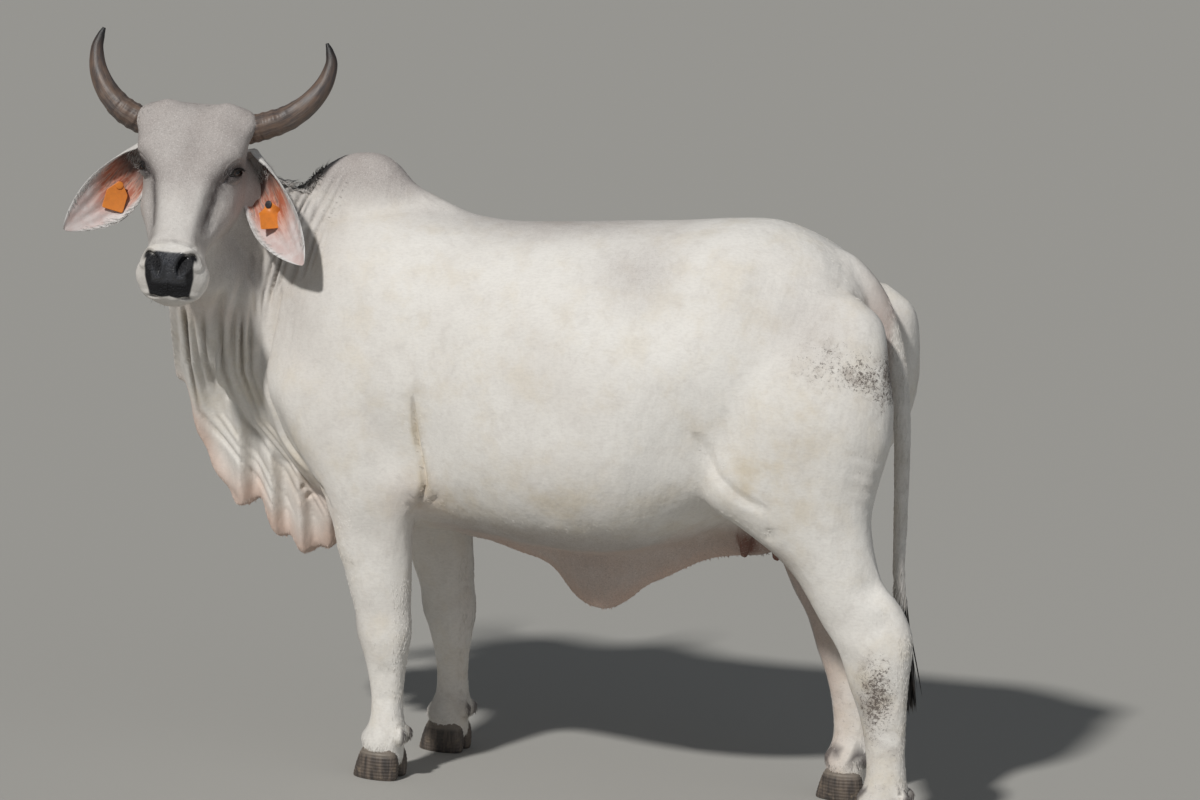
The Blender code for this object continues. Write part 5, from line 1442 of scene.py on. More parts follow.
def ear_finish():
    """White-grey outside; inside rust and pink skin, with painted shade in the folds and at the base."""
    finish = Finish("ear")
    inside = finish.attribute("ear_inside")
    t, s = finish.attribute("ear_length"), finish.attribute("ear_width")
    blotch = finish.noise(24.0, 5.0, 0.65)
    fine = finish.noise(110.0, 4.0, 0.65)
    veins = finish.node("ShaderNodeCombineXYZ", {}, {0: t * 1.1, 1: s * 1.5, 2: 0.0})
    folds = finish.noise(5.2, 4.0, 0.6, veins)
    outer = finish.mix(blotch.ease(0.35, 0.7) * 0.5, (0.66, 0.64, 0.615), (0.44, 0.42, 0.405))
    pale = finish.mix(blotch.ease(0.35, 0.65), (0.54, 0.42, 0.4), (0.64, 0.59, 0.58))
    inner = finish.layers(
        (0.42, 0.095, 0.03),
        (folds.ease(0.44, 0.56), (0.6, 0.3, 0.21)),
        # painted shade in the folds
        ((folds.ease(0.52, 0.62) * t.ease(0.7, 0.45) * 0.6).least(1.0), (0.04, 0.022, 0.024)),
        ((t + s * s * 0.3).ease(0.5, 0.78) * 0.92, pale),
        # painted shade towards the base
        (t.ease(0.42, 0.18) * 0.92, (0.045, 0.016, 0.01)),
        (t.ease(0.15, 0.07) * 0.8, (0.42, 0.39, 0.37)),
        (((s * s).ease(0.55, 0.9) * 0.9 + fine * 0.15).least(1.0), (0.66, 0.64, 0.63)),
    )
    relief = finish.bump(fine + folds * 0.6, 0.0012, 0.6)
    gloss = 0.62 - inside * 0.08 + fine * 0.1
    return finish.paint(Base_Color=finish.mix(inside, outer, inner), Roughness=gloss, Normal=relief)


def tag_finish():
    """Faded orange plastic with grime and pale scuffs."""
    finish = Finish("tag")
    grime = finish.noise(60.0, 5.0, 0.65)
    scuffs = finish.noise(240.0, 2.0, 0.7, finish.stretched((0.3, 1.0, 1.0)))
    colour = finish.layers(
        (0.76, 0.235, 0.03),
        (grime.ease(0.35, 0.75) * 0.45, (0.48, 0.14, 0.025)),
        (scuffs.ease(0.62, 0.8) * 0.35, (0.86, 0.4, 0.13)),
    )
    relief = finish.bump(scuffs, 0.0004, 0.4)
    return finish.paint(Base_Color=colour, Roughness=0.34 + grime * 0.25, Normal=relief)


def plain_finish(name, dark, light, roughness, scale=60.0):
    """One colour broken into two by noise, with a fine grain."""
    finish = Finish(name)
    grain = finish.noise(scale, 4.0, 0.6)
    colour = finish.mix(grain.ease(0.35, 0.7), dark, light)
    relief = finish.bump(grain, 0.0006, 0.4)
    return finish.paint(Base_Color=colour, Roughness=roughness + grain * 0.15, Normal=relief)


def coat_finish():
    """The same markings on the tufts, a little lighter towards their tips."""
    finish = Finish("coat")
    colour, _, _, _, fine, _ = coat_colour(finish)
    colour = finish.mix(finish.attribute("tuft_length") * 0.3, colour, (0.82, 0.8, 0.76))
    return finish.paint(Base_Color=colour, Roughness=0.66 + fine * 0.08, Specular_IOR_Level=0.3)


def head_way(out, ahead, above):
    """A direction given out, forward and up of the way the head is held, as a function of the side."""
    along, left, brow = FACE
    forward = along * math.cos(HEAD_PITCH) + brow * math.sin(HEAD_PITCH)
    up = brow * math.cos(HEAD_PITCH) - along * math.sin(HEAD_PITCH)
    return lambda side: left * (-side * out) + forward * ahead + up * above


def eyeball(side):
    """A ball with a slightly bulged cornea, its iris facing out of the head."""
    ring = np.linspace(0.012, math.pi - 0.012, 44)[:, None]
    bulge = 1 + 0.045 * bell(ring, 0.5, 4)
    radius = EYE_RADIUS * bulge * np.sin(ring)
    angle = turns(72)
    a, u = radius * np.cos(angle), radius * np.sin(angle)
    out = EYE_RADIUS * bulge * np.cos(ring) + 0 * a
    points = np.stack([a, u, out], -1)
    mesh = lofted("eye", from_eye(a, u, out, side).reshape(points.shape))
    local = np.vstack([points.reshape(-1, 3), points[0].mean(0), points[-1].mean(0)])
    behind = np.where(local[:, 2] < 0, 3.0, 0.0)
    store(mesh, "eye_across", local[:, 0] / EYE_RADIUS + behind)
    store(mesh, "eye_above", local[:, 1] / EYE_RADIUS)
    return mesh


def closed_tube(path, radius, around=8):
    """A ring-shaped tube along a closed path of points."""
    tangent = unit(np.roll(path, -1, 0) - np.roll(path, 1, 0))
    out = unit(path - path.mean(0))
    out = unit(out - tangent * (out * tangent).sum(1)[:, None])
    side = np.cross(tangent, out)
    angle = turns(around)[..., None]
    rings = path[:, None] + radius * (np.cos(angle) * out[:, None] + np.sin(angle) * side[:, None])
    count = len(path)
    faces = grid_faces(count + 1, around, True) % (count * around)
    return face_outwards(new_mesh("tube", rings, faces))


def lid_line(side):
    """The lids' edges as one loop, and which of its points are the upper lid's."""
    a = SLIT * np.sin(np.linspace(-math.pi / 2, math.pi / 2, 40))
    upper, lower = slit_edges(a)
    across, above = np.r_[a, a[-2:0:-1]], np.r_[upper, lower[-2:0:-1]]
    out = np.sqrt(np.clip(LID**2 - (0.9 * across) ** 2 - above**2, 0, None)) + 0.0004
    return from_eye(across, above, out, side), np.arange(len(across)) < len(a)


def lid_rims():
    return [closed_tube(lid_line(side)[0], 0.0015) for side in (LEFT, RIGHT)]


def hairs(name, roots, ways, lifts, lengths, halves, thick, bends, rows=2):
    """Many tapered three-sided hairs or tufts as one closed mesh; every array has a row a hair.

    A hair leaves its root along `ways`, bends by `bends` times the square of the way along it, is
    `halves` wide to each side and `thick` high towards `lifts`, and ends in a point.
    """
    count = len(roots)
    t = np.linspace(0, 1, rows + 1)
    ways, lifts = unit(ways), unit(lifts)
    aside = unit(np.cross(ways, lifts))
    step = (lengths[:, None, None] * t[None, :, None]) * ways[:, None]
    middle = roots[:, None] + step + bends[:, None] * (t[None, :, None] ** 2)
    shape = (0.72 + 0.9 * t - 1.3 * t**2)[None, :-1, None]
    wide = halves[:, None, None] * shape * aside[:, None]
    high = thick[:, None, None] * shape * lifts[:, None]
    rings = np.stack([middle[:, :-1] - wide, middle[:, :-1] + high, middle[:, :-1] + wide], 2)
    points = np.concatenate([rings.reshape(count, rows * 3, 3), middle[:, -1:]], 1)
    faces = [(2, 1, 0)]
    for row in range(rows - 1):
        for j in range(3):
            p, q = row * 3 + j, row * 3 + (j + 1) % 3
            faces += [(p, q, q + 3), (p, q + 3, p + 3)]
    last = (rows - 1) * 3
    faces += [(last + j, last + (j + 1) % 3, rows * 3) for j in range(3)]
    each = rows * 3 + 1
    triangles = (np.asarray(faces)[None] + each * np.arange(count)[:, None, None]).reshape(-1, 3)
    corner = np.einsum("ij,ij->i", np.cross(points[:, 1] - points[:, 0], points[:, 2] - points[:, 0]), ways)
    mesh = new_mesh(name, points.reshape(-1, 3), triangles if np.median(corner) < 0 else triangles[:, ::-1])
    store(mesh, "tuft_length", np.tile(np.r_[np.repeat(t[:-1], 3), 1.0], count))
    return mesh


def lashes():
    made = []
    for side in (LEFT, RIGHT):
        line, upper = lid_line(side)
        roots = line[upper][6:-6]
        roots = np.vstack([roots, (roots[:-1] + roots[1:]) / 2])
        count = len(roots)
        out = in_head((0, -side, 0)) - POLL
        down = in_head((0, 0, -1)) - POLL
        fan = unit(roots - roots.mean(0)) * 0.35
        ways = out + 0.35 * down * dice.uniform(0.6, 1.3, (count, 1)) + fan
        ways = ways + dice.normal(0, 0.07, (count, 3))
        lengths = dice.uniform(0.01, 0.017, count)
        made.append(hairs("lashes", roots, ways, np.tile(down, (count, 1)), lengths, np.full(count, 0.00042),
                          np.full(count, 0.0005), down * 0.004 + np.zeros((count, 3)), 4))
    return made


HORN = (  # out from the middle of the head, forward, up, and its radius
    (0.085, -0.04, -0.072, 0.034), (0.135, -0.032, -0.058, 0.0335), (0.172, -0.028, -0.044, 0.0325),
    (0.208, -0.034, -0.026, 0.0305), (0.249, -0.046, 0.01, 0.0265), (0.278, -0.063, 0.055, 0.0215),
    (0.289, -0.08, 0.101, 0.0155), (0.283, -0.09, 0.132, 0.0098), (0.275, -0.094, 0.152, 0.004),
)
HORN_SPREAD = {LEFT: 1.1, RIGHT: 0.86}  # how far each reaches beyond its base


def horn(side, around=56, count=220):
    """A tapering tube with growth rings round its lower half, and a rounded tip."""
    rows = []
    for out, ahead, above, radius in HORN:
        reach = out if out < HORN[1][0] else HORN[1][0] + (out - HORN[1][0]) * HORN_SPREAD[side]
        rows.append((*(POLL + head_way(reach, ahead, above)(side)), radius * 0.985))
    rings = tube_rings(rows, around, count, (0.2, -1, 0))
    t = np.linspace(0, 1, count)[:, None]
    angle = turns(around)
    waver = 0.9 * np.sin(angle + 6 * t) + 0.5 * np.sin(2 * angle + side)
    grooves = np.clip(np.sin(96 * t + 4.5 * np.sin(7 * t) + waver), -0.4, 1)
    relief = 0.0011 * grooves * ease(t, 0.6, 0.3) + 0.0006 * np.sin(5 * angle + 11 * t) * ease(t, 0.95, 0.5)
    middle = rings.mean(1, keepdims=True)
    rings = rings + unit(rings - middle) * relief[..., None]
    mesh = lofted("horn", rings)
    store(mesh, "horn_length", np.r_[np.repeat(t[:, 0], around), 0.0, 1.0])
    store(mesh, "horn_across", np.r_[np.tile(np.cos(angle[0]), count), 0, 0])
    store(mesh, "horn_above", np.r_[np.tile(np.sin(angle[0]), count), 0, 0])
    return mesh


EAR_ROOT = np.array((0.082, 0.118, -0.094))  # along the face, out, and below the brow
EAR_HANG = {LEFT: (0.178, 0.142, -0.234), RIGHT: (0.186, 0.055, -0.208)}  # out, forward, up
EAR_FACING = (-0.26, 0.93, 0.02)
EAR_SHAPE = (  # along the ear, half width, depth of the cup, half angle of the curl
    (-0.14, 0.018, 0.028, 150), (0.0, 0.021, 0.03, 140), (0.08, 0.028, 0.036, 125),
    (0.2, 0.044, 0.038, 95), (0.36, 0.06, 0.034, 70), (0.54, 0.065, 0.026, 55), (0.7, 0.056, 0.018, 45),
    (0.85, 0.037, 0.01, 40), (0.95, 0.018, 0.004, 35), (1.0, 0.005, 0.001, 30),
)
EAR_THICKNESS = 0.0052
EAR_SWAY, EAR_BOW = 0.018, 0.006  # how far the ear's middle bends across itself and backwards


def ear_frame(side):
    """Root, hang, and the directions across the ear and out of its cup."""
    root = in_head(EAR_ROOT * (1, -side, 1))
    hang = head_way(*EAR_HANG[side])(side)
    facing = head_way(*EAR_FACING)(side)
    line = hang / np.linalg.norm(hang)
    facing = unit(facing - line * (facing @ line))
    return root, hang, np.cross(facing, line), facing


def ear_points(side, t, share, half, depth, curl):
    """Places on the middle of the ear's leaf, t along it and share from -1 to 1 across it."""
    root, hang, across, facing = ear_frame(side)
    inside = in_head((EAR_ROOT + (0.012, -0.035, 0.01)) * (1, -side, 1))
    bow = np.sin(math.pi * np.clip(t, 0, 1))
    middle = root + hang * np.clip(t, 0, None)[..., None]
    middle = middle + across * (EAR_SWAY * bow * side)[..., None] - facing * (EAR_BOW * bow)[..., None]
    middle = middle + (inside - root) * (np.clip(-t, 0, None) / 0.14)[..., None]
    full = np.radians(curl)
    wide = half * np.sin(full * share) / np.sin(np.minimum(full, math.pi / 2))
    back = depth * (1 - np.cos(full * share)) / (1 - np.cos(full)) - depth
    ripple = 0.003 * np.sin(9 * t + 2.2 * side) * power(share, 3.0) * np.clip(t, 0, 1)
    return middle + across * wide[..., None] + facing * (back + ripple)[..., None]


def ear(side, along=90, over=56):
    """A leaf of skin curled into a cup: its two faces part by the ear's thickness and meet in a round rim.

    Inside, ridges run up the ear, as waves across it that fade towards the rim and the tip.
    """
    t, half, depth, curl = smooth_through(EAR_SHAPE, along).T[:, :, None]
    share = np.sin(np.linspace(-1, 1, over) * math.pi / 2)[None, :]
    t, share = np.broadcast_arrays(t, share)
    leaf = ear_points(side, t, share, half, depth, curl)
    normal = unit(np.cross(np.gradient(leaf, axis=0), np.gradient(leaf, axis=1)))
    facing = ear_frame(side)[-1]
    normal *= np.sign(normal[along // 2, over // 2] @ facing)
    thick = EAR_THICKNESS / 2 * np.sqrt(np.clip(1 - share**8, 0.02, 1)) * ease(t, 1.02, 0.9)
    thick = thick * (1 + 0.5 * ease(t, 0.3, 0.0))
    ridges = 0.0017 * np.cos(13.5 * share + 2.0 * t) * (1 - share**2) * ease(t, 0.05, 0.25)
    ridges = ridges * ease(t, 0.95, 0.6)
    inner = leaf + normal * (thick + ridges)[..., None]
    outer = leaf - normal * thick[..., None]
    mesh = lofted("ear", np.concatenate([inner, outer[:, ::-1]], 1))
    for name, one, other in (
        ("ear_inside", np.ones_like(share), np.zeros_like(share)),
        ("ear_length", t, t[:, ::-1]),
        ("ear_width", share, share[:, ::-1]),
    ):
        store(mesh, name, np.r_[np.concatenate([one, other], 1).ravel(), 0.0, 1.0])
    return mesh, (t, share, leaf, normal)


def ear_hair(side, leaf_parts):
    """Long hair from the upper rim across the cup, short hair round the whole rim, and down in the base."""
    t, share, leaf, normal = leaf_parts
    facing = ear_frame(side)[-1]
    rows, columns = t.shape
    line = unit(np.gradient(leaf, axis=0))
    sideways = unit(np.gradient(leaf, axis=1))
    picks = []
    for count, edge, spread, reach, tilt in (
        (700, 1, 0.07, (0.012, 0.03), 0.3), (700, -1, 0.07, (0.008, 0.018), 0.3),
        (320, 0, 0.75, (0.016, 0.034), 0.8),
    ):
        i = dice.integers(int(rows * 0.16), int(rows * (0.93 if edge else 0.42)), count)
        if edge:
            place = edge * (1 - np.abs(dice.normal(0, spread, count)))
        else:
            place = dice.uniform(-spread, spread, count)
        j = np.clip(np.searchsorted(share[0], place), 1, columns - 2)
        inward = -np.sign(share[i, j])[:, None] * sideways[i, j]
        way = line[i, j] * dice.uniform(0.6, 1.1, (count, 1))
        way = way + facing * tilt * dice.uniform(0.5, 1.2, (count, 1))
        way = way + inward * dice.uniform(-0.35, 0.9, (count, 1)) * (1 if edge else 0.2)
        length = dice.uniform(*reach, count) * (0.6 + 0.4 * np.sin(math.pi * t[i, j]))
        bend = inward * length[:, None] * 0.35
        picks.append((leaf[i, j] + normal[i, j] * 0.001, way, normal[i, j], length, bend))
    roots, ways, lifts, lengths, bends = (np.concatenate(part) for part in zip(*picks))
    count = len(roots)
    made = hairs("ear_hair", roots, ways, lifts, lengths, dice.uniform(0.0003, 0.0007, count),
                 np.full(count, 0.0004), bends, 3)
    store(made, "hair_shade", np.repeat((dice.random(count) < 0.28).astype(float), 10))
    return made


CLAW_LENGTH, CLAW_WIDTH = 0.118, 0.05
CLAW = (  # height, front, back, half width of one claw, as shares of the foot
    (0.0, -0.47, 0.44, 0.86), (0.0015, -0.495, 0.46, 0.94), (0.006, -0.5, 0.474, 1.0),
    (0.016, -0.48, 0.484, 1.04), (0.034, -0.44, 0.486, 1.09), (0.05, -0.395, 0.47, 1.08),
    (0.064, -0.345, 0.43, 0.98), (0.078, -0.26, 0.34, 0.78), (0.09, -0.15, 0.24, 0.5),
)


def claws(centre_x, centre_y):
    """Two claws side by side: flat soles, sloping ringed walls, and tops that run up into the foot."""
    made = []
    around = 64
    z, front, back, half = columns_of(smooth_through(CLAW, 60))
    z = np.clip(z, 0, None)
    away = np.cos(turns(around))
    x = (front + back) / 2 + (back - front) / 2 * power(away, 0.85)
    wide = half * CLAW_WIDTH / 2 * power(np.sin(turns(around)), 0.8)
    wide = wide * (1.0 - 0.26 * np.clip(-away, 0, None) ** 2)
    ring = 1 + 0.012 * np.sin(z * 760 + 1.2 * away) * ease(z, 0.004, 0.012)
    heights = np.r_[np.repeat(z[:, 0], around), z[0, 0], z[-1, 0]]
    for out in (-1, 1):
        turn_in = 0.0055 * out * np.clip(-x, 0, None) * 2
        y = out * CLAW_WIDTH * 0.53 + wide - turn_in
        points = np.stack([centre_x + x * CLAW_LENGTH * ring, centre_y + y, z + 0 * x], -1)
        mesh = lofted("claw", points)
        store(mesh, "hoof_height", heights / 0.066)
        made.append(mesh)
    return made


SWITCH_TOP = np.array((1.036, -0.003, 0.53))
SWITCH_LENGTH = 0.27
GOLDEN_TURN = 2.39996  # spreads the locks evenly round the tail


def switch_locks(count=230):
    """Long dark hair from the end of the tail, fuller in the middle and drawn to points."""
    k = np.arange(count)
    turn = k * GOLDEN_TURN
    start = np.sort(dice.uniform(-0.1, 0.42, count))
    out = np.stack([np.cos(turn), np.sin(turn), 0 * turn], -1)
    drop = np.stack([0.026 * np.clip(start, 0, 1), 0 * start, -SWITCH_LENGTH * start], -1)
    radius = 0.01 + 0.006 * np.clip(start, 0, 1)
    roots = SWITCH_TOP + drop + out * (radius * dice.uniform(0.4, 1.0, count))[:, None]
    ways = out * dice.uniform(0.05, 0.16, (count, 1)) + (0.1, 0, -1) + dice.normal(0, 0.02, (count, 3))
    lengths = SWITCH_LENGTH * (1.0 - start) * dice.uniform(0.72, 1.0, count)
    bends = -out * dice.uniform(0.002, 0.02, (count, 1)) * (lengths / 0.2)[:, None]
    return hairs("switch", roots, ways, out, lengths, dice.uniform(0.0022, 0.0052, count),
                 dice.uniform(0.0016, 0.0034, count), bends, 9)


TAG = (0.052, 0.062, 0.0024)  # width, height, thickness
TAG_SHARE = 0.41  # where it is pinned, as a share of the ear's length
TAG_TURN = {LEFT: 24.0, RIGHT: -16.0}  # how far each has swung round, in degrees
TAG_OUTLINE = (
    (0.0, -0.12), (0.1, -0.12), (0.16, -0.06), (0.47, 0.26), (0.5, 0.32), (0.5, 0.93), (0.47, 0.99),
    (0.4, 1.0), (0.0, 1.0),
)


TAG_STUD = (  # height over the ear, radius
    (-0.015, 0.004), (-0.004, 0.0045), (0.003, 0.006), (0.0036, 0.0092), (0.0052, 0.0094), (0.0062, 0.008),
    (0.0068, 0.002),
)


def tag_place(side):
    """Where a tag is pinned, and its directions down, aside and out of the ear's cup."""
    root, hang, across, facing = ear_frame(side)
    bow = math.sin(math.pi * TAG_SHARE)
    middle = root + hang * TAG_SHARE + across * (EAR_SWAY * bow * side) - facing * (EAR_BOW * bow)
    place = middle - facing * 0.016
    down = np.array((0, 0, -1.0))
    down = unit(down - facing * (facing @ down))
    down = np.array(Matrix.Rotation(math.radians(TAG_TURN[side]), 3, Vector(facing)) @ Vector(down))
    return place, down, np.cross(facing, down), facing


def ear_tag(side):
    """A thin bowed plate with a pointed top: its outline shrunk in rings towards the middle of both faces."""
    place, down, aside, facing = tag_place(side)
    right_half = np.array(TAG_OUTLINE)
    outline = np.vstack([right_half, (right_half * (-1, 1))[-2:0:-1]])
    outline = np.vstack([outline, outline[:1]])
    steps = way_along(outline)
    at = np.linspace(0, steps[-1], 120, endpoint=False)
    outline = np.stack([np.interp(at, steps, outline[:, k]) for k in (0, 1)], -1)
    centre = np.array((0.0, 0.45))
    inwards = 22  # rings from each rim to the middle
    shrink = np.r_[np.linspace(0.04, 0.985, inwards), 1.0, 1.0, np.linspace(0.985, 0.04, inwards)]
    lift = np.r_[np.full(inwards, 1.0), 0.72, 0.28, np.zeros(inwards)] * TAG[2]
    plane = centre + (outline - centre) * shrink[:, None, None]
    x, y = plane[..., 0] * TAG[0], plane[..., 1] * TAG[1]
    bow = 0.12 * (y / TAG[1]) ** 2 * TAG[1] + 1.6 * x**2 * (1 if side == RIGHT else 2.2) + 0.05 * x * side
    swing = (math.radians(52.0) if side == LEFT else 0.0) * ease(y, 0.004, 0.026)
    raised = lift[:, None] + bow + 0.0006 + x * np.sin(swing) * -1
    points = place + aside * (x * np.cos(swing))[..., None] + down * y[..., None]
    points = points + facing * raised[..., None]
    return lofted("tag", points)


def tag_stud(side):
    place, _, _, facing = tag_place(side)
    rows = [(*(place + facing * height), radius) for height, radius in TAG_STUD]
    return tube("stud", rows, 36, 60, tuple(unit(np.cross(facing, (0.3, 0.2, 1.0)))))


def whiskers(tree):
    """A few stiff pale hairs on the lips and the chin."""
    count = 260
    local = np.stack([dice.uniform(0.4, 0.475, count), dice.uniform(-0.07, 0.07, count),
                      dice.uniform(-0.175, -0.1, count)], -1)
    found = [tree.find_nearest(Vector(point)) for point in in_head(local)]
    roots = np.array([hit[0] for hit in found])
    normals = np.array([hit[1] for hit in found])
    local = to_head(roots)
    below = (local[:, 2] < -0.108) & (local[:, 0] > 0.39)
    roots, normals = roots[below], normals[below]
    count = len(roots)
    ways = normals + (0, 0, -0.7) + dice.normal(0, 0.15, (count, 3))
    lengths = dice.uniform(0.008, 0.022, count)
    return hairs("whiskers", roots - normals * 0.001, ways, normals + 0.01, lengths, np.full(count, 0.00045),
                 np.full(count, 0.0005), np.tile((0, 0, -0.003), (count, 1)), 3)


def hair_way(points, normals):
    """The way the coat lies: back over the trunk, down the neck, legs and tail, along the face."""
    x, _, z = points.T
    way = np.tile((1.0, 0.0, -0.38), (len(points), 1))
    for share, turned in (
        (ease(x, -0.4, -0.58), (0.45, 0.25, -1.0)),
        (ease(z, 0.74, 0.55), (0.18, 0.0, -1.0)),
        (ease(x, 0.93, 1.0) * ease(z, 0.4, 0.6), (0.0, 0.0, -1.0)),
        (face_share(points), FACE[0] + (0, 0, -0.15)),
    ):
        way = way + (np.asarray(turned) - way) * share[:, None]
    sway = np.sin(points @ np.array([(9.0, 4.0, 2.0), (-5.0, 8.0, 6.0), (3.0, -6.0, 11.0)]).T)
    way = way + 0.16 * sway
    return unit(way - normals * (way * normals).sum(1)[:, None])


def coat_rules(points, normals):
    """How many tufts grow in a square metre, their length, half width, and how far they stand up."""
    x, y, z = points.T
    along = to_head(points)[:, 0]
    face = face_share(points)
    rules = np.stack([7600 + 0 * x, 0.011 + 0 * x, 0.00085 + 0 * x, 0.035 + 0 * x], -1)

    def grow(share, *rule):
        rules[:] = rules + (np.array(rule) - rules) * np.clip(share, 0, 1)[:, None]

    top = (normals[:, 2] > 0.75) & (z > 1.25) & (face < 0.2)
    grow(0.9 * top, 11000, 0.011, 0.0009, 0.06)
    under = (normals[:, 2] < -0.6) & (z > 0.5)
    grow(0.9 * under, 13000, 0.012, 0.0009, 0.08)
    grow(ease(z, 0.72, 0.5), 17000, 0.0095, 0.0009, 0.08)
    behind = (z < 0.5) & (normals[:, 0] > 0.45)
    grow(0.9 * behind, 26000, 0.015, 0.001, 0.22)
    rim = ease(z - edge_at(DEWLAP, x, 2), 0.05, 0.015) * (x < -0.26) * (np.abs(y) < 0.25) * (z > 0.4)
    grow(rim, 17000, 0.011, 0.001, 0.2)
    rim = ease(z - edge_at(NAVEL_FLAP, x, 1), 0.05, 0.015) * (x > 0.0) * (x < 0.74) * (np.abs(y) < 0.1)
    grow(rim, 15000, 0.013, 0.001, 0.22)
    tail = ease(x, 0.955, 0.985) * (np.abs(y) < 0.05) * ease(z, 0.44, 0.52)
    grow(tail, 34000, 0.017, 0.0011, 0.12)
    grow(tail * ease(z, 0.64, 0.55), 60000, 0.04, 0.0016, 0.12)
    band = ease(z, 0.105, 0.085)
    grow(band, 60000, 0.014, 0.0011, 0.22)
    grow(face, 19000, 0.0062, 0.00075, 0.07)
    poll = soft_spot(points, in_head((0.0, 0.0, -0.02)), (0.06, 0.06, 0.045))
    grow(1.3 * poll, 60000, 0.011, 0.0005, 0.1)
    for side in (LEFT, RIGHT):
        base = POLL + head_way(0.118, -0.034, -0.062)(side)
        away = gap(points, base)
        grow(ease(away, 0.062, 0.046), 100000, 0.012, 0.0005, 0.12)
        a, u, _, near = eye_local(points, side)
        bare = np.hypot((a - 0.003) / 0.034, u / 0.021)
        grow(ease(bare, 1.5, 1.0) * (near < 0.08), 0, 0.003, 0.0004, 0.02)
    chosen, away, share = nearest_on(points, smooth_through(CREST, 40), 0.06)
    crest = np.zeros(len(points))
    crest[chosen] = ease(away, 0.04, 0.02) * ease(share, 0.0, 0.1) * ease(share, 1.0, 0.85)
    grow(crest * (face < 0.6), 62000, 0.038, 0.0014, 0.5)
    muzzle = face * ease(along, 0.385, 0.405)
    grow(muzzle, 9000, 0.0042, 0.0005, 0.05)
    marks = coat_marks(points)
    nose, nostril, teat = marks[:, 6], marks[:, 7], marks[:, 5] * (z < 0.69)
    rules[:, 0] *= np.clip(1 - 1.6 * nose - 2.0 * nostril - teat, 0, 1) * (z > 0.05)
    return rules


def sprinkled(mesh):
    """Roots of the tufts and the skin's normals there, spread over the skin by its coat rules."""
    mesh.calc_loop_triangles()
    corners = gathered(mesh.loop_triangles, "vertices", 3, np.int32)
    points, normals = read_points(mesh)
    density = coat_rules(points, normals)[:, 0]
    a, b, c = (points[corners[:, k]] for k in range(3))
    area = np.linalg.norm(np.cross(b - a, c - a), axis=1) / 2
    wanted = np.cumsum(area * density[corners].mean(1))
    count = int(wanted[-1])
    pick = np.searchsorted(wanted, dice.uniform(0, wanted[-1], count))
    pick = corners[np.clip(pick, 0, len(corners) - 1)]
    r, s = np.sqrt(dice.random(count)), dice.random(count)
    mix = np.stack([1 - r, r * (1 - s), r * s], -1)[..., None]
    roots = (points[pick] * mix).sum(1)
    return roots, unit((normals[pick] * mix).sum(1))


def unwrapped(points, region):
    """A place from 0 to 1 for each root: its turn round the middle of its region, and its share along it."""
    x, y, z = points.T
    if region == "head":
        along, out, up = to_head(points).T
        turn, share = np.arctan2(out, up + 0.12), (along + 0.1) / 0.65
    elif region in ("forelegs", "hindlegs"):
        middle = -0.2 if region == "forelegs" else 0.95
        turn, share = np.arctan2(np.abs(y) - 0.165, x - middle), z / 0.75
        turn = (turn / (2 * math.pi) + 0.5) * 0.48 + 0.01 + 0.5 * (y > 0)
        return np.stack([turn, share * 0.97 + 0.01], -1)
    elif region == "tail":
        turn, share = np.arctan2(y, x - 1.015), (z - 0.4) / 0.9
    else:
        turn, share = np.arctan2(y, z - 0.98), (x + 0.95) / 2.1
    return np.stack([(turn / (2 * math.pi) + 0.5) * 0.98 + 0.01, np.clip(share, 0, 1) * 0.98 + 0.01], -1)


def regions(points):
    x, y, z = points.T
    names = np.full(len(points), "barrel_left", dtype="<U14")
    names[y > -0.02] = "barrel_right"
    names[(x > 0.5)] = "rump_left"
    names[(x > 0.5) & (y > 0.0)] = "rump_right"
    names[(x < -0.12)] = "shoulder_left"
    names[(x < -0.12) & (y > -0.02)] = "shoulder_right"
    names[x < -0.45] = "neck"
    names[face_share(points) > 0.5] = "head"
    names[(z < 0.56) & (x > -0.35) & (x < 0.0)] = "forelegs"
    names[(z < 0.6) & (x > 0.75)] = "hindlegs"
    names[(x > 0.975) & (np.abs(y) < 0.045) & (z > 0.42)] = "tail"
    return names


MOST_TUFTS = 19800  # in one piece
# Where a tuft's points lie round its place on the map
TUFT_PATCH = np.array(((-1, -1), (0, -1), (1, -1), (-1, 0.2), (0, 0.2), (1, 0.2), (0, 1))) * 0.0015


def coat(mesh):
    """The tufts of each region as one mesh, whose map puts each tuft as a small patch at its root's place."""
    roots, normals = sprinkled(mesh)
    rules = coat_rules(roots, normals)
    names = regions(roots)
    made = {}
    for name in sorted(set(names)):
        chosen = np.flatnonzero(names == name)[:MOST_TUFTS]
        root, normal, rule = roots[chosen], normals[chosen], rules[chosen]
        count = len(chosen)
        way = hair_way(root, normal)
        aside = np.cross(way, normal)
        stray = dice.normal(0, 0.16, (count, 1))
        lift = rule[:, 3] * dice.uniform(0.5, 1.5, count)
        way = unit(way + aside * stray + normal * lift[:, None])
        length = rule[:, 1] * dice.uniform(0.65, 1.3, count)
        bend = -normal * (length * lift * 0.55)[:, None]
        tufts = hairs("coat_" + name, root - normal * 0.0008, way, normal, length,
                      rule[:, 2] * dice.uniform(0.75, 1.25, count), rule[:, 2] * 0.75, bend, 2)
        mark(tufts, np.repeat(coat_marks(root), len(TUFT_PATCH), axis=0))
        places = (unwrapped(root, name)[:, None] + TUFT_PATCH).reshape(-1, 2)
        corners = gathered(tufts.loops, "vertex_index", 1, np.int32)[:, 0]
        layer = tufts.uv_layers.new(name="OFBake")
        layer.data.foreach_set("uv", places[corners].astype(np.float32).ravel())
        made[name] = tufts
    return made


CAMERA_AIM, CAMERA_DISTANCE = (0.27, 0.0, 0.94), 10.5
CAMERA_FOCAL, PHOTO_WIDTH, SENSOR = 4410.0, 1200.0, 36.0  # in pixels, pixels and millimetres


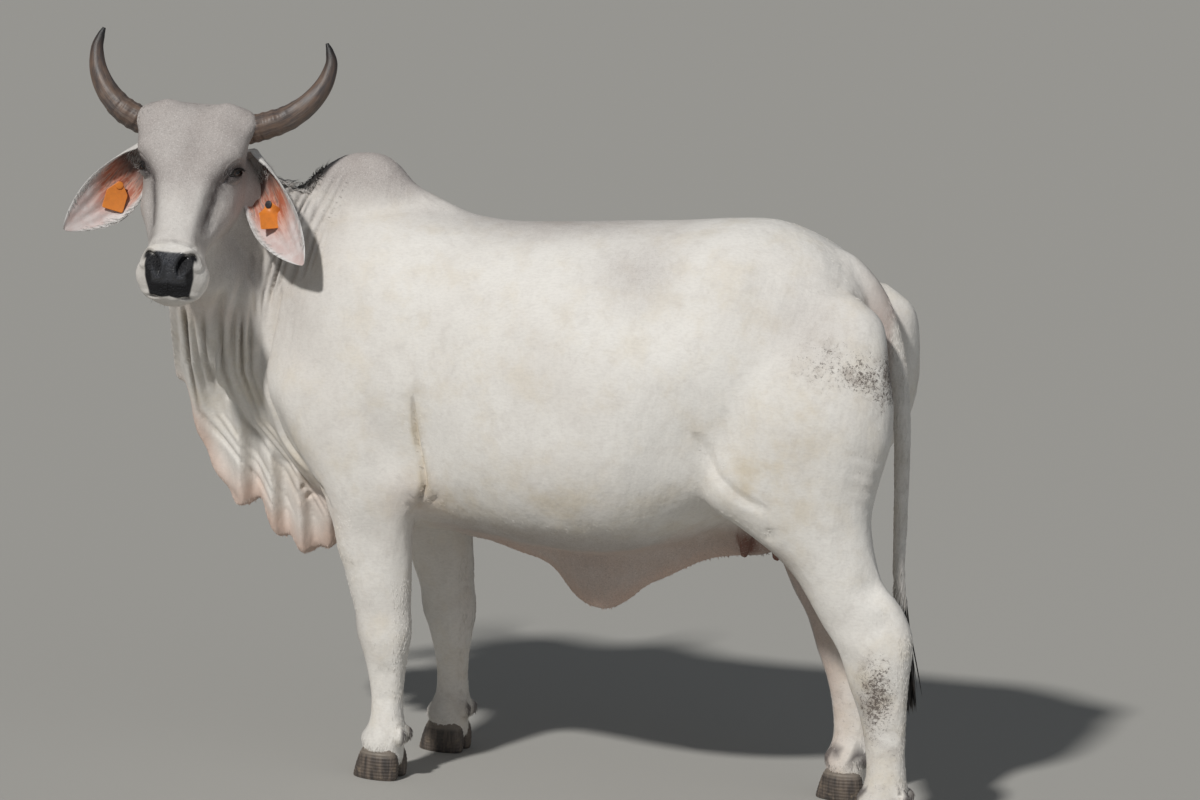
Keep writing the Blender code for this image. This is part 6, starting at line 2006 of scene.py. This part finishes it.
def aim_camera():
    """The photo's viewpoint: 20 degrees towards the tail from square on, 9.5 above, rolled 2."""
    turn, rise, roll = math.radians(20.0), math.radians(9.5), math.radians(2.0)
    right = Vector((math.cos(turn), math.sin(turn), 0.0))
    look = Vector((-math.sin(turn) * math.cos(rise), math.cos(turn) * math.cos(rise), -math.sin(rise)))
    up = right.cross(look)
    right, up = right * math.cos(roll) + up * math.sin(roll), up * math.cos(roll) - right * math.sin(roll)
    camera = link("camera", bpy.data.cameras.new("camera"))
    target = Vector(CAMERA_AIM) - Vector(MIDDLE)
    rows = Matrix((right, up, -look)).transposed().to_4x4()
    camera.matrix_world = Matrix.Translation(target - look * CAMERA_DISTANCE) @ rows
    camera.data.sensor_width = SENSOR
    camera.data.lens = SENSOR * CAMERA_FOCAL / PHOTO_WIDTH
    camera.data.clip_end = 100.0
    bpy.context.scene.camera = camera


def placed(name, mesh, material, nodes=(), smooth=True):
    """Puts a finished mesh in the scene, moved to the shared frame, with its material, hung under the root,
    and hides the nodes it replaces.
    """
    mesh.transform(Matrix.Translation(-Vector(MIDDLE)))
    mesh.materials.append(material)
    piece = link(name, mesh)
    if smooth:
        mesh.shade_smooth()
    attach(piece, "root")
    if nodes:
        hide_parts(*nodes)
    return piece


def joined(name, meshes):
    """Several meshes as one, keeping the values stored on their points."""
    points, faces, first = [], [], 0
    stored = {}
    for mesh in meshes:
        places, _ = read_points(mesh)
        points.append(places)
        faces += [[first + k for k in face.vertices] for face in mesh.polygons]
        for layer in mesh.attributes:
            if layer.data_type == "FLOAT" and layer.domain == "POINT":
                stored.setdefault(layer.name, []).append(gathered(layer.data, "value")[:, 0])
        first += len(mesh.vertices)
    whole = new_mesh(name, np.vstack(points), faces)
    for key, values in stored.items():
        store(whole, key, np.concatenate(values))
    return whole


def studio():
    """A plain pale floor, a broad soft sun high at the front left, and weak fill light all round."""
    half = 40.0
    corners = [(half * x, half * y, 0) for x, y in ((-1, -1), (1, -1), (1, 1), (-1, 1))]
    floor = new_mesh("floor", corners, [(0, 1, 2, 3)])
    finish = Finish("floor")
    floor.materials.append(finish.paint(Base_Color=(0.42, 0.41, 0.385), Roughness=0.85))
    link("floor", floor)
    for name, place, energy, angle, colour in (
        ("key_sun", (-0.9, -4.6, 5.3), 2.7, 0.07, (1.0, 0.985, 0.955)),
        ("fill_sun", (6.0, -3.0, 3.0), 0.38, 1.2, (0.88, 0.94, 1.0)),
    ):
        lamp = bpy.data.lights.new(name, "SUN")
        lamp.energy, lamp.angle, lamp.color = energy, angle, colour
        holder = link(name, lamp)
        holder.location = place
        aim = Vector((0.1, 0, 0.8)) - Vector(place)
        holder.rotation_euler = aim.to_track_quat("-Z", "Y").to_euler()
    world = bpy.data.worlds.new("studio")
    world.use_nodes = True
    world.node_tree.nodes["Background"].inputs["Color"].default_value = (0.8, 0.86, 0.93, 1.0)
    world.node_tree.nodes["Background"].inputs["Strength"].default_value = 0.13
    bpy.context.scene.world = world
    bpy.context.scene.view_settings.view_transform = "Standard"


def build_cow():
    hide, fur, bone, ears = skin_finish(), coat_finish(), horn_finish(), ear_finish()
    hooves, eyes, tags = hoof_finish(), eye_finish(), tag_finish()
    wet = plain_finish("lid", (0.012, 0.01, 0.01), (0.03, 0.022, 0.02), 0.3)
    lash = plain_finish("lash", (0.012, 0.01, 0.01), (0.03, 0.026, 0.024), 0.5)
    black_hair = plain_finish("switch", (0.01, 0.009, 0.009), (0.06, 0.05, 0.044), 0.46, 30.0)
    pale_hair = plain_finish("ear_hair", (0.6, 0.58, 0.56), (0.76, 0.74, 0.72), 0.6)
    dark = plain_finish("stud", (0.02, 0.02, 0.022), (0.045, 0.045, 0.05), 0.35)

    skin = finished_skin()
    points, _ = read_points(skin)
    mark(skin, coat_marks(points))
    tree = BVHTree.FromPolygons([tuple(p) for p in points], [tuple(face.vertices) for face in skin.polygons])
    tufts = coat(skin)
    extra = whiskers(tree)
    flesh = ("torso", "neck", "hump", "head", "leg", "dewlap", "navel", "udder")
    nodes = [node for node in NODES if node.startswith(flesh)] + ["tail"]
    placed("skin", skin, hide, nodes)
    for name, mesh in tufts.items():
        placed("coat_" + name, mesh, fur, smooth=False)
    placed("whiskers", extra, pale_hair)
    placed("lid_rims", joined("lid_rims", lid_rims()), wet)
    placed("lashes", joined("lashes", lashes()), lash)
    for side, word in ((LEFT, "left"), (RIGHT, "right")):
        placed("eye_" + word, eyeball(side), eyes, ["eye_" + word])
        placed("horn_" + word, horn(side), bone, ["horn_" + word])
        leaf, parts = ear(side)
        placed("ear_" + word, leaf, ears, ["ear_" + word])
        placed("ear_hair_" + word, ear_hair(side, parts), pale_hair)
        placed("ear_tag_" + word, ear_tag(side), tags, ["ear_tag_" + word])
        placed("tag_stud_" + word, tag_stud(side), dark if side == LEFT else tags)
        fore, hind = steps_of(side)
        for end, x, y in (("front", -0.203 + fore, side * 0.164), ("hind", 1.048 + hind, side * 0.17)):
            hoof = f"hoof_{end}_{word}"
            placed(hoof, joined(hoof, claws(x, y)), hooves, [hoof])
    placed("tail_switch", switch_locks(), black_hair, ["tail_switch"])


aim_camera()
studio()
build_cow()
